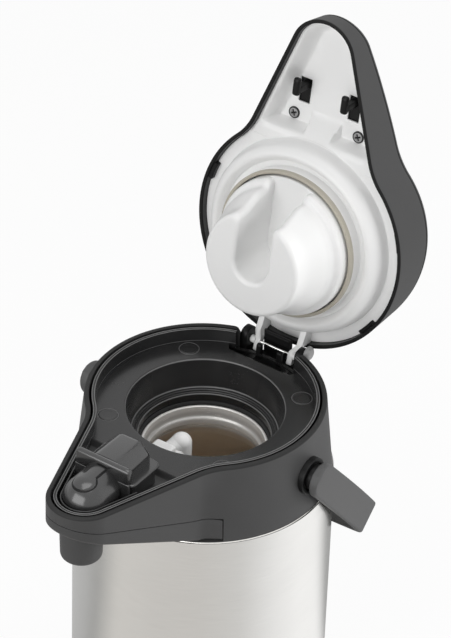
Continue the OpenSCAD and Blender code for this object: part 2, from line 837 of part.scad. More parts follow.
module anti_spill_ball() {
    color("silver") at_rim() translate([0, -nozzle_y, ball_z]) sphere(ball_r);
}

module outlet_pipe() {
    foot = -nozzle_depth + 2.5;
    color("whitesmoke") at_rim() translate([0, -nozzle_y, foot])
        tube(housing_z + pipe_socket - foot, pipe_r, pipe_bore);
}

module feed_hose() {
    rise = hose_depth - hose_bend - stub_drop;
    color("whitesmoke") at_rim() {
        translate([0, -hose_start, -hose_depth]) rotate([90, 0, 0])
            tube(hose_end - hose_start, hose_r, hose_r - hose_wall);
        translate([0, -hose_end, -hose_depth + hose_bend]) rotate([0, 90, 0]) rotate([180, 0, 0])
            rotate_extrude(angle = 90) translate([hose_bend, 0]) difference() {
                circle(hose_r);
                circle(hose_r - hose_wall);
            }
        translate([0, -inlet_y, -hose_depth + hose_bend]) tube(rise, hose_r, hose_r - hose_wall);
    }
}

module tube_elbow() {
    socket_foot = throat_depth + 3;
    color("white") at_rim() difference() {
        union() {
            translate([0, -tube_y, -socket_foot]) cylinder(socket_foot - hose_depth + elbow_rise, socket_r, socket_r);
            translate([0, -tube_y, -hose_depth + elbow_rise]) sphere(socket_r);
            translate([0, 0, -hose_depth]) {
                along_y(eps - hose_start, -tube_y, hose_r);
                along_y(elbow_gap - bead_r, -tube_y, elbow_r);
            }
        }
        translate([0, -tube_y, -far / 2])
            cylinder(far / 2 - hose_depth - tube_stop, tube_r + eps, tube_r + eps);
        translate([0, -tube_y, -hose_depth - tube_stop - 1])
            cylinder(tube_stop + 1, tube_r - 2.6, tube_r - 2.6);
        translate([0, 0, -hose_depth]) along_y(-far / 4, -tube_y, hose_r - hose_wall);
    }
}

module pump_tube() {
    foot = liner_floor + steel_t + 6;
    head = rim_z - hose_depth - tube_stop - floor_gap;
    color("whitesmoke") translate([0, -tube_y, foot]) tube(head - foot, tube_r, tube_r - 1.2);
}

module hinge_bracket() {
    color([0.12, 0.12, 0.13]) at_rim() difference() {
        union() {
            translate([-notch_x + run_gap, bracket_front, -shelf_drop]) cube([2 * (notch_x - run_gap),
                bracket_back - bracket_front, bracket_t]);
            both_sides() {
                translate([lug_x, hinge_y - lug_r, -shelf_drop])
                    cube([lug_w, 2 * lug_r, shelf_drop - hinge_drop]);
                translate([0, hinge_y, -hinge_drop]) along_x(lug_x, lug_x + lug_w, lug_r);
            }
        }
        translate([0, hinge_y, -hinge_drop]) along_x(-far, far, pin_r + pin_grip);
    }
}

module hinge_pin() {
    color("silver") at_rim() translate([0, hinge_y, -hinge_drop])
        along_x(-notch_x - 1, notch_x + 0.2, pin_r);
}

module hinge_knob() {
    color([0.55, 0.55, 0.55]) at_rim() translate([0, hinge_y, -hinge_drop]) along_x(notch_x + 0.2,
        notch_x + 0.2 + knob_w, knob_r);
}

module handle_pins() {
    color("silver") at_rim() both_sides() translate([0, pivot_back, -pivot_drop])
        along_x(rim_r - 5, arm_out - pivot_skin - run_gap, pivot_r);
}

module grip_area(inset) {
    t_bow = round_c + (round_c - bow_c) / norm(round_c - bow_c) * corner_round;
    t_arch = round_c + (round_c - arch_c) / norm(round_c - arch_c) * corner_round;
    intersection() {
        both_arcs(inset);
        union() {
            polygon([[-t_bow.x, -strap_w], [t_bow.x + far / 4, -strap_w], t_bow, t_arch, [0, grip_s + 1],
                [-t_arch.x, t_arch.y], [-t_bow.x, t_bow.y], [-t_bow.x - far / 4, -strap_w]]);
            both_sides() translate(round_c) circle(corner_round - inset);
        }
    }
}

module both_arcs(inset) {
    intersection() {
        translate(bow_c) circle(bow_r - inset, $fn = 720);
        translate([-bow_c.x, bow_c.y]) circle(bow_r - inset, $fn = 720);
        translate(arch_c) circle(arch_r - inset, $fn = 360);
    }
}

module carry_handle() {
    color([0.33, 0.33, 0.34]) at_rim() translate([0, pivot_back, -pivot_drop])
        rotate([-handle_rest, 0, 0]) difference() {
            intersection() {
                linear_extrude(strap_w, center = true) difference() {
                    grip_area(0);
                    grip_area(strap_t);
                }
                union() {
                    along_x(-far / 2, far / 2, strap_w / 2);
                    translate([-far / 2, 0, -strap_w / 2 - 1]) cube([far, far, strap_w + 2]);
                }
            }
            both_sides() {
                along_x(0, arm_in, hub_r + 1);
                along_x(0, arm_out - pivot_skin, pivot_r + pin_gap);
            }
        }
}

module under_crown(drop) {
    translate([0, crown.x, crown.y]) along_x(-far / 2, far / 2, crown[2] - drop);
}

module lid_body(inset, top) {
    intersection() {
        translate([0, 0, lid_gap]) drafted(draft_h, inset, inset + draft_i * draft_h);
        under_crown(top);
    }
}

module lid_shell() {
    color([0.3, 0.3, 0.31]) opened() difference() {
        union() {
            difference() {
                lid_body(0, 0);
                translate([0, 0, -1]) lid_body(lid_wall, lid_wall - 1);
            }
            translate([0, 0, bezel_foot]) cylinder(bezel_top - bezel_foot, bezel_r, bezel_r);
            intersection() {
                lid_body(lid_wall / 2, lid_wall / 2);
                both_sides() translate([screw_x, -screw_y, liner_nose_z + liner_t])
                    cylinder(far, post_r, post_r);
            }
        }
        translate([0, 0, -1]) cylinder(far, bezel_bore, bezel_bore);
        translate([-thumb_x - run_gap, -thumb_y - thumb_l - run_gap, liner_nose_z])
            cube([2 * (thumb_x + run_gap), thumb_l + latch_travel + 2 * run_gap, far]);
        both_sides() {
            translate([screw_x, -screw_y, 0])
                cylinder(liner_nose_z + screw_reach, screw_r + eps, screw_r + eps);
            translate([arm_x - run_gap, notch_front, 0])
                cube([arm_w + 2 * run_gap, far, liner_z + liner_t / 2 + run_gap]);
        }
    }
}

module liner_plate(inset, z) {
    translate([0, 0, z]) linear_extrude(liner_t) difference() {
        outline(inset);
        children();
    }
}

module lid_liner() {
    t = liner_t;
    color("white") opened() difference() {
        union() {
            liner_plate(liner_in, liner_z) {
                circle(bulge_r - 0.5);
                translate([-far / 2, -riser_y - far]) square([far, far]);
            }
            intersection() {
                liner_plate(liner_nose_in, liner_nose_z)
                    translate([-far / 2, -riser_y]) square([far, far]);
                under_crown(lid_wall + run_gap);
            }
            intersection() {
                translate([0, 0, liner_z]) linear_extrude(liner_nose_z + t - liner_z)
                    outline(liner_nose_in);
                translate([-far / 2, -riser_y - eps, 0]) cube([far, t, far]);
            }
            translate([-7, -riser_y - eps, liner_nose_z]) cube([14, t, 10]);
            liner_ring();
            both_sides() hinge_arm();
        }
        both_sides() {
            translate([hook_x + 0.5 - hook_slot_w / 2, -hook_y - hook_slot_l / 2 - 2, liner_nose_z - 1])
                cube([hook_slot_w, hook_slot_l, t + 2]);
            translate([screw_x, -screw_y, 0]) cylinder(far, screw_r + eps, screw_r + eps);
        }
        translate([0, hinge_y, -hinge_drop]) along_x(-far, far, pin_r + pin_gap);
    }
}

// Turned part of the liner: round bulge, groove and the tube that carries the seal
module liner_ring() {
    t = liner_t;
    rotate_extrude() polygon([
        [bulge_r, liner_z], [bulge_r - 2.5, -bulge_depth + 4.5], [bulge_r - 5.5, -bulge_depth + 0.9],
        [bulge_r - 8, -bulge_depth], [bulge_r - 10.5, -bulge_depth + 0.9], [groove_r, -bulge_depth + 4],
        [groove_r, ledge_z], [carrier_out, ledge_z], [carrier_out, -carrier_foot],
        [carrier_in, -carrier_foot],
        [carrier_in, ledge_z], [cup_r + 0.4, ledge_z], [cup_r + 0.4, ledge_z + t],
        [groove_r + t, ledge_z + t],
        [groove_r + t, -bulge_depth + 5], [bulge_r - 8, -bulge_depth + t],
        [bulge_r - 4.5, -bulge_depth + 5], [bulge_r - 2, liner_z + t], [bulge_r, liner_z + t]]);
}

module hinge_arm() {
    root = rim_r - liner_in;
    translate([arm_x, 0, 0]) rotate([90, 0, 90]) linear_extrude(arm_w) union() {
        translate([hinge_y, -hinge_drop]) circle(arm_hub_r);
        polygon([[hinge_y - arm_hub_r, -hinge_drop], [hinge_y + 2, -hinge_drop + arm_hub_r - 1],
            [root - 1, liner_z + liner_t / 2], [root - arm_root, liner_z + liner_t / 2]]);
    }
}

module liner_screws() {
    color("silver") opened() both_sides() translate([screw_x, -screw_y, liner_nose_z - screw_head_h]) {
        difference() {
            cylinder(screw_head_h, screw_head_r, screw_head_r);
            for (turn = [0, 90]) rotate([0, 0, turn])
                translate([-recess_l / 2, -recess_w / 2, -recess_w])
                    cube([recess_l, recess_w, 2 * recess_w]);
        }
        cylinder(screw_reach, screw_r, screw_r);
    }
}

module liner_clips() {
    clip_w = 9;
    clip_h = 3;
    clip_deep = 3.6;
    clip_out = rim_r - lid_wall - draft_i * (liner_z + 1);
    color([0.1, 0.1, 0.1]) opened() for (turn = [-17, 197, 37, 143]) rotate([0, 0, turn])
        translate([0, 0, liner_z - clip_h]) intersection() {
            tube(clip_h, clip_out, clip_out - clip_deep);
            translate([0, -clip_w / 2, 0]) cube([far, clip_w, far]);
        }
}

module bellows_cup() {
    color("white") opened() difference() {
        rotate_extrude() polygon([
            [0, -cup_depth], [cup_face_r, -cup_depth], [cup_face_r + 1, -cup_chamfer_z],
            [cup_face_r + 2.4, -cup_cone], [cup_waist_r, -cup_shoulder], [cup_waist_r, -cup_step - 2], [cup_r - 2.5, -cup_step - 2],
            [cup_r, -cup_step], [cup_r, ledge_z + liner_t], [carrier_in + 1.4, ledge_z + liner_t],
            [carrier_in + 1.4, ledge_z + liner_t + 2], [cup_r - cup_wall, ledge_z + liner_t + 2],
            [cup_r - cup_wall, -cup_floor], [0, -cup_floor]]);
        translate([0, 0, -cup_depth - 1]) linear_extrude(cup_depth + 1 - slot_roof) union() {
            circle(slot_x);
            translate([-slot_x, -far]) square([2 * slot_x, far]);
        }
        translate([0, 0, -far / 2]) cylinder(far / 2, air_r, air_r);
    }
}

module cup_seal() {
    color([0.73, 0.7, 0.65]) opened() translate([0, 0, -seal_foot])
        tube(seal_foot - carrier_foot, seal_out, carrier_in);
}

module air_valve() {
    color([0.75, 0.72, 0.66]) opened() translate([0, 0, -cup_floor]) cylinder(1.4, air_r + 3, air_r + 3);
}

module bellows() {
    n = bellows_folds;
    w = bellows_wall;
    in_r = bellows_r - fold_deep;
    foot = bellows_foot + w;
    pitch = (plate_z - w - foot) / n;
    outer = [for (k = [0:n - 1]) each [[in_r, foot + k * pitch], [bellows_r, foot + (k + 0.5) * pitch]]];
    inner = [for (k = [n - 1:-1:0]) each [[bellows_r - 1.6 * w, foot + (k + 0.5) * pitch],
        [in_r - 1.6 * w, foot + k * pitch]]];
    color([0.85, 0.85, 0.83]) opened() rotate_extrude() polygon(concat(
        [[in_r - 12, bellows_foot], [in_r, bellows_foot]], outer, [[in_r, plate_z - w], [in_r, plate_z],
        [in_r - 12, plate_z], [in_r - 12, plate_z - w], [in_r - 1.6 * w, plate_z - w]], inner,
        [[in_r - 12, foot]]));
}

module button_spring() {
    color("silver") opened() translate([0, 0, -cup_floor])
        coil(spring_r, spring_wire, cup_floor + plate_z, spring_turns);
}

module pump_button() {
    color([0.3, 0.3, 0.31]) opened() rotate_extrude() polygon([
        [0, button_top], [button_r - button_dish, button_top - button_edge / 8],
        [button_r - button_skin, button_top - button_edge / 2], [button_r, button_top - button_edge],
        [button_r, button_foot], [button_r - button_skin, button_foot],
        [button_r - button_skin, button_top - button_edge - 1], [stem_r, button_top - button_skin - 1.5],
        [stem_r, plate_z + plate_t], [stem_in_r, plate_z + plate_t],
        [stem_in_r, button_top - button_skin - 1], [0, button_top - button_skin - 0.4]]);
}

module push_plate() {
    color("whitesmoke") opened() translate([0, 0, plate_z]) {
        cylinder(plate_t, bellows_r - 2, bellows_r - 2);
        cylinder(plate_t + plate_plug, stem_in_r - eps, stem_in_r - eps);
    }
}

module latch_hooks() {
    color([0.1, 0.1, 0.1]) opened() {
        translate([-hook_x - hook_w, -latch_front, latch_z])
            cube([2 * (hook_x + hook_w), latch_front - latch_back, latch_t]);
        both_sides() translate([hook_x - hook_w / 2, 0, hook_foot]) {
            translate([0, -hook_y - hook_t, 0]) cube([hook_w, hook_t, latch_z - hook_foot + eps]);
            translate([0, -hook_tip, 0]) cube([hook_w, hook_tip - hook_y, hook_h]);
        }
    }
}

module latch_thumb() {
    head = crown_z(-thumb_y - thumb_l / 2) + thumb_proud;
    color([0.12, 0.12, 0.12]) opened() translate([-thumb_x, -thumb_y - thumb_l, latch_z + latch_t])
        cube([2 * thumb_x, thumb_l, head - latch_z - latch_t]);
}

module latch_spring() {
    foot = riser_y + 2 * eps;
    color("silver") opened() translate([0, -foot, latch_coil_z]) rotate([90, 0, 0])
        coil(latch_coil_r, latch_wire, latch_back - eps - foot, latch_turns);
}

outer_shell();
inner_liner();
shell_bottom();
base_cup();
base_pad();
collar_shell();
collar_deck();
deck_plugs();
deck_screws();
neck_gasket();
spout_cover();
spout_nozzle();
valve_housing();
valve_cap();
anti_spill_ball();
outlet_pipe();
feed_hose();
tube_elbow();
pump_tube();
hinge_bracket();
hinge_pin();
hinge_knob();
handle_pins();
carry_handle();
lid_shell();
lid_liner();
liner_screws();
liner_clips();
bellows_cup();
cup_seal();
air_valve();
bellows();
button_spring();
pump_button();
push_plate();
latch_hooks();
latch_thumb();
latch_spring();
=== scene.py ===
"""Pump flask with its lid open: surfaces, finishes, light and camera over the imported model.

Lengths are in millimetres in the frame of the collar's rim (nose towards -Y, hinge towards +Y)
until a piece is placed; the meshes are in metres in the shared frame. A finish has metres too.
"""
import json
import logging
import math
from dataclasses import dataclass, field
from enum import Enum
from functools import partialmethod

import bmesh
import bpy
import numpy as np
from mathutils import Matrix

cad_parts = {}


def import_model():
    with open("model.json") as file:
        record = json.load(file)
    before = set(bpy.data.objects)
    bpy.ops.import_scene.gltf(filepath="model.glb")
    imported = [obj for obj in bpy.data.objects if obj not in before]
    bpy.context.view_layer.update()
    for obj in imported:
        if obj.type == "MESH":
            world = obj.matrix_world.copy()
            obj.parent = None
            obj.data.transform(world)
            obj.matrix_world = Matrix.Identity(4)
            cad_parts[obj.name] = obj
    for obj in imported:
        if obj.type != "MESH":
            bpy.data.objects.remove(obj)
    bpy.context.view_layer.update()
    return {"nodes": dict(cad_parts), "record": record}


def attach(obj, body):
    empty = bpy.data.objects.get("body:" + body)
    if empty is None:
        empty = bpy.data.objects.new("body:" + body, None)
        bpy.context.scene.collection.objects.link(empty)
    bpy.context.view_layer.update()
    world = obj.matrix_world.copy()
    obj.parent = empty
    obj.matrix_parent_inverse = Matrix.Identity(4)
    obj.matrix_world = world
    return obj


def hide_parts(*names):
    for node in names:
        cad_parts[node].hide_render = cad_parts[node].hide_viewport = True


LOG = logging.getLogger("pump_flask")
MM = 0.001
MERGE, SLIVER = 2e-6, 1e-6
RIM_Z = 290.0
HINGE_Y, HINGE_Z = 82.07, -10.2
LID_OPEN = 98.14
PIVOT_Y, PIVOT_Z = 1.0, -29.5
HANDLE_REST = 47.5
FLIP = np.array([-1.0, 1.0])

Colour = tuple[float, float, float]
Span = tuple[float, float]
Triple = tuple[float, float, float]
Loop = tuple[np.ndarray, np.ndarray, np.ndarray]
Paints = dict[str, bpy.types.Material]


class Seat(Enum):
    """Frame that a piece is drawn in, by the body that belongs to it."""

    FLASK = "flask_body"
    LID = "lid"
    HANDLE = "handle"

    def place(self, points: np.ndarray) -> np.ndarray:
        """Move points from this seat into the shared frame.

        The lid turns about its hinge until it is open; the handle's second axis falls below level
        from its pivot, and its third axis is square to that.

        Args:
            points: array (n, 3) in millimetres.
        Returns:
            Array (n, 3) in metres.
        """
        x, y, z = points.T
        if self is Seat.LID:
            turn = math.radians(-LID_OPEN)
            c, s = math.cos(turn), math.sin(turn)
            y, z = y - HINGE_Y, z - HINGE_Z
            y, z = HINGE_Y + y * c - z * s, HINGE_Z + y * s + z * c
        elif self is Seat.HANDLE:
            c, s = math.cos(math.radians(HANDLE_REST)), math.sin(math.radians(HANDLE_REST))
            y, z = PIVOT_Y + y * c + z * s, PIVOT_Z - y * s + z * c
        return np.stack([x, y, z + RIM_Z], 1) * MM


def soft_path(corners: list[Triple], closed: bool = False, steps: int = 6) -> np.ndarray:
    """Polyline whose corners are rounded by quadratic curves.

    Each corner p with radius r becomes (1-t)^2 a + 2t(1-t) p + t^2 b, where a and b lie r before
    and after p on its two sides, at most 0.48 of a side away.

    Args:
        corners: (a, b, radius) for each corner.
        closed: whether the last corner joins the first.
        steps: points on each rounded corner.
    Returns:
        Array (n, 2).
    """
    most = 0.48
    pts = np.array([c[:2] for c in corners], float)
    t = np.linspace(0.0, 1.0, steps)[:, None]
    runs = []
    for k, (_, _, radius) in enumerate(corners):
        end = not closed and k in (0, len(corners) - 1)
        if radius <= 0 or end:
            runs.append(pts[k:k + 1])
            continue
        before, after = pts[k - 1] - pts[k], pts[(k + 1) % len(pts)] - pts[k]
        la, lb = np.linalg.norm(before), np.linalg.norm(after)
        a = pts[k] + before / la * min(radius, most * la)
        b = pts[k] + after / lb * min(radius, most * lb)
        runs.append((1 - t) ** 2 * a + 2 * t * (1 - t) * pts[k] + t ** 2 * b)
    return np.concatenate(runs)


def smooth(a: float, b: float, t: np.ndarray) -> np.ndarray:
    """Smooth step 3u^2 - 2u^3 with u running from 0 at a to 1 at b."""
    u = np.clip((t - a) / (b - a), 0, 1)
    return u * u * (3 - 2 * u)


def circle(count: int) -> np.ndarray:
    """Angles of a full turn, without its end."""
    return np.linspace(0, 2 * np.pi, count, endpoint=False)


def round_edge(r: float, end: float = 90.0) -> list[Span]:
    """Inset and rise at eight places on a round edge of radius r, from upright to end degrees over."""
    bend = np.radians(np.linspace(0, end, 8))
    return list(zip(r * (1 - np.cos(bend)), r * np.sin(bend)))


def rings(a: np.ndarray, steps: list[tuple]) -> np.ndarray:
    """Grid with a row (r cos a, r sin a, z) for each (r, z), given as numbers or one per angle."""
    r, z = (np.array([row + 0 * a for row in column]) for column in zip(*steps))
    return np.stack([r * np.cos(a), r * np.sin(a), z], -1)


def lathe(profile: np.ndarray, turns: int, at: Span = (0.0, 0.0)) -> np.ndarray:
    """Profile (r, z) turned about an upright axis at a place; a grid to be closed along its columns."""
    return rings(circle(turns), profile) + [*at, 0.0]


def lathe_x(profile: np.ndarray, y: float, z: float, turns: int = 64) -> np.ndarray:
    """Profile (r, x) turned about a line along X at y, z; a grid to be closed along its columns."""
    g = lathe(profile, turns)
    return np.stack([g[..., 2], y + g[..., 0], z + g[..., 1]], -1)


def soft_block(x: Span, y: Span, z: Span, r: float, corner: float = 0.0) -> np.ndarray:
    """Rounded box: rounded rectangles in X and Y, drawn in along a quarter circle at both ends of Z.

    Args:
        x, y, z: limits.
        r: radius of the edges.
        corner: radius of the upright edges where it is larger.
    Returns:
        Grid closed along its columns; its first and last rows are the ends.
    """
    bend = np.radians([90, 60, 30, 0])
    inset, rise = r * (1 - np.cos(bend)), r * (1 - np.sin(bend))
    levels = np.concatenate([z[0] + rise, z[1] - rise[::-1]])
    c = max(r, corner)
    rows = []
    for i, level in zip(np.concatenate([inset, inset[::-1]]), levels):
        ring = soft_path([(x[0] + i, y[0] + i, c), (x[1] - i, y[0] + i, c), (x[1] - i, y[1] - i, c),
                          (x[0] + i, y[1] - i, c)], closed=True, steps=5)
        rows.append(np.column_stack([ring, np.full(len(ring), level)]))
    return np.array(rows)


def prism_x(shape: np.ndarray, x0: float, x1: float, r: float) -> np.ndarray:
    """Plate of the outline shape (y, z) between x0 and x1, its edges drawn in by r towards its middle.

    Args:
        shape: closed outline (n, 2).
        x0, x1: its two faces.
        r: softening of the edges.
    Returns:
        Grid closed along its columns; its first and last rows are the ends.
    """
    mid = shape.mean(0)
    far = np.linalg.norm(shape - mid, axis=1, keepdims=True)
    rows = [(r, x0), (0.3 * r, x0 + 0.3 * r), (0, x0 + r), (0, x1 - r), (0.3 * r, x1 - 0.3 * r), (r, x1)]
    return np.array([np.column_stack([np.full(len(shape), x), mid + (shape - mid) * (1 - i / far)])
                     for i, x in rows])


def slab(x: np.ndarray, y: np.ndarray, z: np.ndarray, thick: float = 2.0) -> np.ndarray:
    """Closed sections across: the line (x, y, z) of each y, and the same line lower by thick, run back.

    Args:
        x: places across, one row or a row for each y.
        y, z: places along, and their heights.
        thick: thickness.
    Returns:
        Grid closed along its columns; its first and last rows are the ends.
    """
    top = np.stack(np.broadcast_arrays(x, y[:, None], z[:, None]), -1)
    return np.concatenate([top, top[:, ::-1] - [0, 0, thick]], 1)


def show(name: str, data: bpy.types.ID) -> bpy.types.Object:
    """New object of that data, linked to the scene."""
    thing = bpy.data.objects.new(name, data)
    bpy.context.scene.collection.objects.link(thing)
    return thing


@dataclass
class Skin:
    """Surface patches that make up one piece."""

    paints: Paints
    seat: Seat
    points: list[np.ndarray] = field(default_factory=list)
    faces: list[list[int]] = field(default_factory=list)
    count: int = 0

    def grid(self, p: np.ndarray, cols: bool = True, rows: bool = False, out: Triple | None = None,
             keep: np.ndarray | None = None, caps: bool = False) -> "Skin":
        """Add the quads of a grid, turned so that they face outwards.

        Without a hint the patch counts as closed, and its signed volume, the sum of centre times
        area normal, tells which way it faces.

        Args:
            p: grid (rows, columns, 3).
            cols: whether the last column joins the first.
            rows: whether the last row joins the first.
            out: direction that an open patch faces.
            keep: mask of the quads that are kept.
            caps: whether the first and last rows are closed by a face.
        Returns:
            The same skin.
        """
        ids = np.arange(p.shape[0] * p.shape[1]).reshape(p.shape[:2])
        ring = np.vstack([ids, ids[:1]]) if rows else ids
        if cols:
            ring = np.hstack([ring, ring[:, :1]])
        quads = np.stack([ring[:-1, :-1], ring[1:, :-1], ring[1:, 1:], ring[:-1, 1:]], -1)
        flat, full = p.reshape(-1, 3), quads.reshape(-1, 4)
        c = flat[full]
        normal = np.cross(c[:, 2] - c[:, 0], c[:, 3] - c[:, 1])
        if out is None:
            sign = np.einsum("ij,ij->", c.mean(1) - flat.mean(0), normal)
        else:
            sign = (normal @ np.array(out, float)).sum()
        if keep is not None:
            full = quads[keep]
        if sign < 0:
            full = full[:, ::-1]
        self.faces += (full + self.count).tolist()
        if caps:
            for end in (ids[0], ids[-1][::-1]):
                self.faces.append(((end if sign < 0 else end[::-1]) + self.count).tolist())
        self.points.append(flat)
        self.count += ids.size
        return self

    def block(self, x: Span, y: Span, z: Span, r: float, corner: float = 0.0) -> "Skin":
        """Add a rounded box."""
        return self.grid(soft_block(x, y, z, r, corner), caps=True)

    def turned(self, corners: list[Triple], turns: int, at: Span = (0.0, 0.0), steps: int = 6,
               closed: bool = False, out: Triple | None = None) -> "Skin":
        """Add a turned profile of rounded corners."""
        return self.grid(lathe(soft_path(corners, closed, steps), turns, at), rows=closed, out=out)

    def build(self, name: str, slot: str, *nodes: str, body: str = "", angle: float = 38.0,
              wall: float = 0.0) -> None:
        """Make the mesh, merge its doubles, smooth it and hang it on its body.

        Args:
            name: name of the piece.
            slot: material slot of the record, which gives the finish.
            nodes: CAD nodes that it stands for.
            body: CAD body that it rides on, if not the seat's.
            angle: edges sharper than this stay sharp, in degrees.
            wall: thickness given to open patches, in millimetres.
        """
        body = body or self.seat.value
        mesh = bpy.data.meshes.new(name)
        mesh.from_pydata(self.seat.place(np.concatenate(self.points)).tolist(), [], self.faces)
        work = bmesh.new()
        work.from_mesh(mesh)
        bmesh.ops.remove_doubles(work, verts=work.verts, dist=MERGE)
        bmesh.ops.dissolve_degenerate(work, edges=work.edges, dist=SLIVER)
        work.to_mesh(mesh)
        work.free()
        mesh.polygons.foreach_set("use_smooth", np.ones(len(mesh.polygons), bool))
        mesh.set_sharp_from_angle(angle=math.radians(angle))
        mesh.materials.append(self.paints[slot])
        piece = show(name, mesh)
        if wall:
            thick = piece.modifiers.new("wall", "SOLIDIFY")
            thick.thickness = wall * MM
            thick.offset = -1.0
        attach(piece, body)
        if nodes:
            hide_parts(*nodes)
        LOG.info("%s: %d faces", name, len(mesh.polygons))


class Val:
    """Shader socket that takes part in sums; each sign adds a Math node."""

    def __init__(self, tree: "Tree", socket: bpy.types.NodeSocket) -> None:
        """Hold a socket and the tree that it belongs to."""
        self.tree, self.socket = tree, socket

    def join(self, operation: str, other: "Val | float" = 0.0) -> "Val":
        """Math node of one operation on this value and another."""
        return self.tree.node("ShaderNodeMath", {"operation": operation}, {0: self, 1: other})

    __add__ = __radd__ = partialmethod(join, "ADD")
    __sub__ = partialmethod(join, "SUBTRACT")
    __mul__ = __rmul__ = partialmethod(join, "MULTIPLY")

    def __rsub__(self, other: float) -> "Val":
        """Difference from a number."""
        return self.tree.node("ShaderNodeMath", {"operation": "SUBTRACT"}, {0: other, 1: self})

    def step(self, low: float, high: float) -> "Val":
        """Smooth step from 0 at low to 1 at high."""
        return self.tree.node("ShaderNodeMapRange", {"interpolation_type": "SMOOTHSTEP"},
                              {"Value": self, "From Min": low, "From Max": high})

    def near(self, at: float, half: float) -> "Val":
        """1 close to a value, falling to 0 at half away from it."""
        return 1 - (self - at).join("ABSOLUTE").step(0.5 * half, half)


class Tree:
    """Node tree of a material or a world."""

    def __init__(self, owner: bpy.types.ID) -> None:
        """Start with an empty tree.

        Args:
            owner: material or world that it belongs to.
        """
        self.owner = owner
        owner.use_nodes = True
        self.nodes, self.links = owner.node_tree.nodes, owner.node_tree.links
        self.nodes.clear()
        self.place = self.node("ShaderNodeTexCoord", {}, {}, "Object")

    def node(self, kind: str, settings: dict, inputs: dict, out: "int | str" = 0) -> Val:
        """Add a node.

        Args:
            kind: its type.
            settings: properties that are set first; "stops" holds a ramp's (place, colour) pairs.
            inputs: values or links of its sockets.
            out: the output that is returned.
        Returns:
            The wrapped output.
        """
        n = self.nodes.new(kind)
        for key, value in settings.items():
            if key == "stops":
                ramp = n.color_ramp.elements
                for k, (at, colour) in enumerate(value):
                    stop = ramp[k] if k < 2 else ramp.new(at)
                    stop.position, stop.color = at, (*colour, 1.0)
            else:
                setattr(n, key, value)
        for key, value in inputs.items():
            if isinstance(value, Val):
                self.links.new(value.socket, n.inputs[key])
            else:
                n.inputs[key].default_value = value
        return Val(self, n.outputs[out])

    def outputs(self, kind: str, names: tuple, inputs: dict) -> list[Val]:
        """Several outputs of one new node of that kind."""
        outs = self.node(kind, {}, inputs).socket.node.outputs
        return [Val(self, outs[name]) for name in names]

    def axes(self) -> list[Val]:
        """X, Y and Z of the object's own place, in metres."""
        return self.outputs("ShaderNodeSeparateXYZ", (0, 1, 2), {0: self.place})

    def seen(self) -> tuple[Val, Val]:
        """1 for camera, glossy and transmission rays, and 1 for glossy rays alone."""
        names = ("Is Camera Ray", "Is Glossy Ray", "Is Transmission Ray")
        camera, glossy, through = self.outputs("ShaderNodeLightPath", names, {})
        return camera.join("MAXIMUM", glossy).join("MAXIMUM", through), glossy

    def vector(self, x: "Val | float", y: "Val | float", z: "Val | float") -> Val:
        """Vector of three values."""
        return self.node("ShaderNodeCombineXYZ", {}, {0: x, 1: y, 2: z})

    def length(self, x: Val, y: Val) -> Val:
        """Length of the vector (x, y)."""
        return self.node("ShaderNodeVectorMath", {"operation": "LENGTH"}, {0: self.vector(x, y, 0.0)}, 1)

    def noise(self, scale: float, detail: float = 3.0, at: "Val | None" = None) -> Val:
        """Noise between 0 and 1 of that scale per metre."""
        inputs = {"Vector": at or self.place, "Scale": scale, "Detail": detail}
        return self.node("ShaderNodeTexNoise", {}, inputs)

    def mix(self, share: "Val | float", a: "Val | Colour", b: "Val | Colour") -> Val:
        """Colour between a and b."""
        ends = {k: v if isinstance(v, Val) else (*v, 1.0) for k, v in ((6, a), (7, b))}
        return self.node("ShaderNodeMix", {"data_type": "RGBA"}, {0: share, **ends}, 2)

    def bump(self, height: Val, depth: float) -> Val:
        """Bumped normal of a height map with that depth in metres."""
        return self.node("ShaderNodeBump", {}, {"Height": height, "Distance": depth, "Strength": 1.0})

    def finish(self, inputs: dict) -> bpy.types.Material:
        """Close the tree with a principled surface."""
        self.output(self.node("ShaderNodeBsdfPrincipled", {}, inputs))
        return self.owner

    def output(self, shade: Val, kind: str = "ShaderNodeOutputMaterial") -> None:
        """Link a shader to the owner's output."""
        self.links.new(shade.socket, self.nodes.new(kind).inputs["Surface"])


def grey(level: float, blue: float | None = None) -> Colour:
    """Grey of that level, with its own blue if given."""
    return level, level, level if blue is None else blue


@dataclass(frozen=True)
class Plastic:
    """Moulded plastic with a fine grain."""

    name: str
    colour: Colour
    rough: float
    grain: float = 1400.0
    depth: float = 0.00006
    tint: float = 0.16
    coat: float = 0.0
    clear: float = 0.0
    shine: float = 0.5

    def ends(self) -> list[Colour]:
        """Colour made darker and lighter by the tint."""
        return [tuple(min(1.0, c * k) for c in self.colour) for k in (1 - self.tint, 1 + self.tint)]

    def mottle(self, t: Tree) -> tuple[Val, Val, Val]:
        """Grain and slow patches tint the colour and the roughness.

        Args:
            t: tree of the finish.
        Returns:
            The grain, the colour and the roughness.
        """
        fine, slow = t.noise(self.grain), t.noise(38.0, 2.0)
        colour = t.mix(0.55 * fine + 0.45 * slow, *self.ends())
        return fine, colour, self.rough - 0.06 + 0.08 * fine + 0.05 * slow

    def make(self) -> bpy.types.Material:
        """Mottled surface, whose grain also gives the bump.

        Returns:
            The material.
        """
        t = Tree(bpy.data.materials.new(self.name))
        fine, colour, rough = self.mottle(t)
        return t.finish({"Base Color": colour, "Roughness": rough, "Normal": t.bump(fine, self.depth),
                         "Coat Weight": self.coat, "Coat Roughness": 0.12,
                         "Specular IOR Level": self.shine, "Transmission Weight": self.clear})


